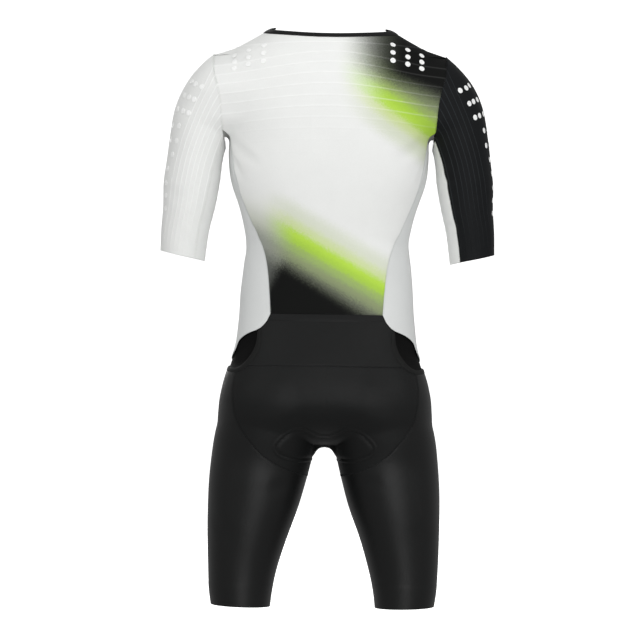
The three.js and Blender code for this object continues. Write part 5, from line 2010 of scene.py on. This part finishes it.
@dataclass(frozen=True)
class Studio:
    """A pale floor that sweeps up behind, soft lights and the camera.

    Attributes:
        scale: Millimetres of the object to one pixel of the 640 pixel picture.
        lens: The camera's focal length.
        roll: How far the picture is turned, in degrees.
        aim_x: The X that the camera looks at, in millimetres.
        aim_z: The Z that the camera looks at.
        floor_z: The height of the floor, in metres.
    """

    scale: float = 1.65
    lens: float = 180.0
    roll: float = 0.84
    aim_x: float = 10.6
    aim_z: float = -482.0
    floor_z: float = -1.02

    def build(self) -> None:
        """Builds the stage, the lights and the camera."""
        scene = bpy.context.scene
        scene.view_settings.view_transform = "Standard"
        self._floor()
        world = bpy.data.worlds.new("soft_white_room")
        world.use_nodes = True
        background = world.node_tree.nodes["Background"]
        background.inputs["Color"].default_value = (1, 1, 1, 1)
        background.inputs["Strength"].default_value = 0.42
        scene.world = world
        lamps = (
            ("key", (-0.3, 3.2, -0.9), 1.1, 50.0),
            ("fill_right", (-1.8, 1.7, 0.5), 1.4, 16.0),
            ("fill_left", (1.8, 1.7, 0.5), 1.4, 12.0),
            ("front", (0.7, -3.2, 0.8), 2.0, 55.0),
            ("top", (0.0, 0.6, 2.0), 1.0, 9.0),
        )
        for name, place, size, power in lamps:
            light = bpy.data.lights.new(name, "AREA")
            light.shape, light.size, light.energy = "SQUARE", size, power
            lamp = bpy.data.objects.new(name, light)
            lamp.location = place
            aim = Vector((0, 0, self.aim_z * MM)) - lamp.location
            lamp.rotation_euler = aim.to_track_quat("-Z", "Y").to_euler()
            scene.collection.objects.link(lamp)
        camera = bpy.data.cameras.new("camera")
        camera.lens, camera.sensor_width = self.lens, 36.0
        width = self.scale * 640 * MM
        distance = width * self.lens / camera.sensor_width
        viewer = bpy.data.objects.new("camera", camera)
        viewer.location = (self.aim_x * MM, distance, self.aim_z * MM)
        viewer.rotation_euler = Vector((0, -1, 0)).to_track_quat("-Z", "Y").to_euler()
        viewer.rotation_euler.rotate_axis("Z", math.radians(self.roll))
        scene.collection.objects.link(viewer)
        scene.camera = viewer

    def _floor(self) -> None:
        """A plain pale floor with a round sweep up into the wall behind."""
        half, bend, back = 7.0, 1.2, -5.9
        turns = np.linspace(0, math.pi / 2, 13)
        sweep = zip(back - bend * np.sin(turns), bend - bend * np.cos(turns))
        profile = [(half, 0.0), *sweep, (back - bend, 6.0)]
        points = [(x, y, self.floor_z + z) for y, z in profile for x in (-half, half)]
        faces = [[2 * k, 2 * k + 1, 2 * k + 3, 2 * k + 2] for k in range(len(profile) - 1)]
        finish = bpy.data.materials.new("pale_paper_sweep")
        finish.use_nodes = True
        shader = finish.node_tree.nodes["Principled BSDF"]
        shader.inputs["Base Color"].default_value = linear("#f6f6f5")
        shader.inputs["Roughness"].default_value = 0.9
        shader.inputs["Emission Color"].default_value = (1, 1, 1, 1)
        shader.inputs["Emission Strength"].default_value = 0.85
        piece = make_object("paper_sweep", np.array(points) / MM, faces, finish)
        # It is a plain white ground for the picture, and throws no light back on the cloth
        piece.visible_diffuse = False
        piece.visible_glossy = False


def main() -> None:
    """Builds every piece of the suit and the studio round it."""
    logging.basicConfig(level=logging.INFO, format="%(name)s %(message)s")
    clothes = Wardrobe()
    UpperBody(clothes).build()
    for side in Side:
        Sleeve(side, clothes).build()
    RearPocket(clothes).build()
    Shorts(clothes).build()
    NeckBinding(clothes).build()
    Zip(clothes).build()
    Stitching(clothes).build()
    TransferDots(clothes).build()
    Studio().build()


if __name__ == "__main__":
    main()
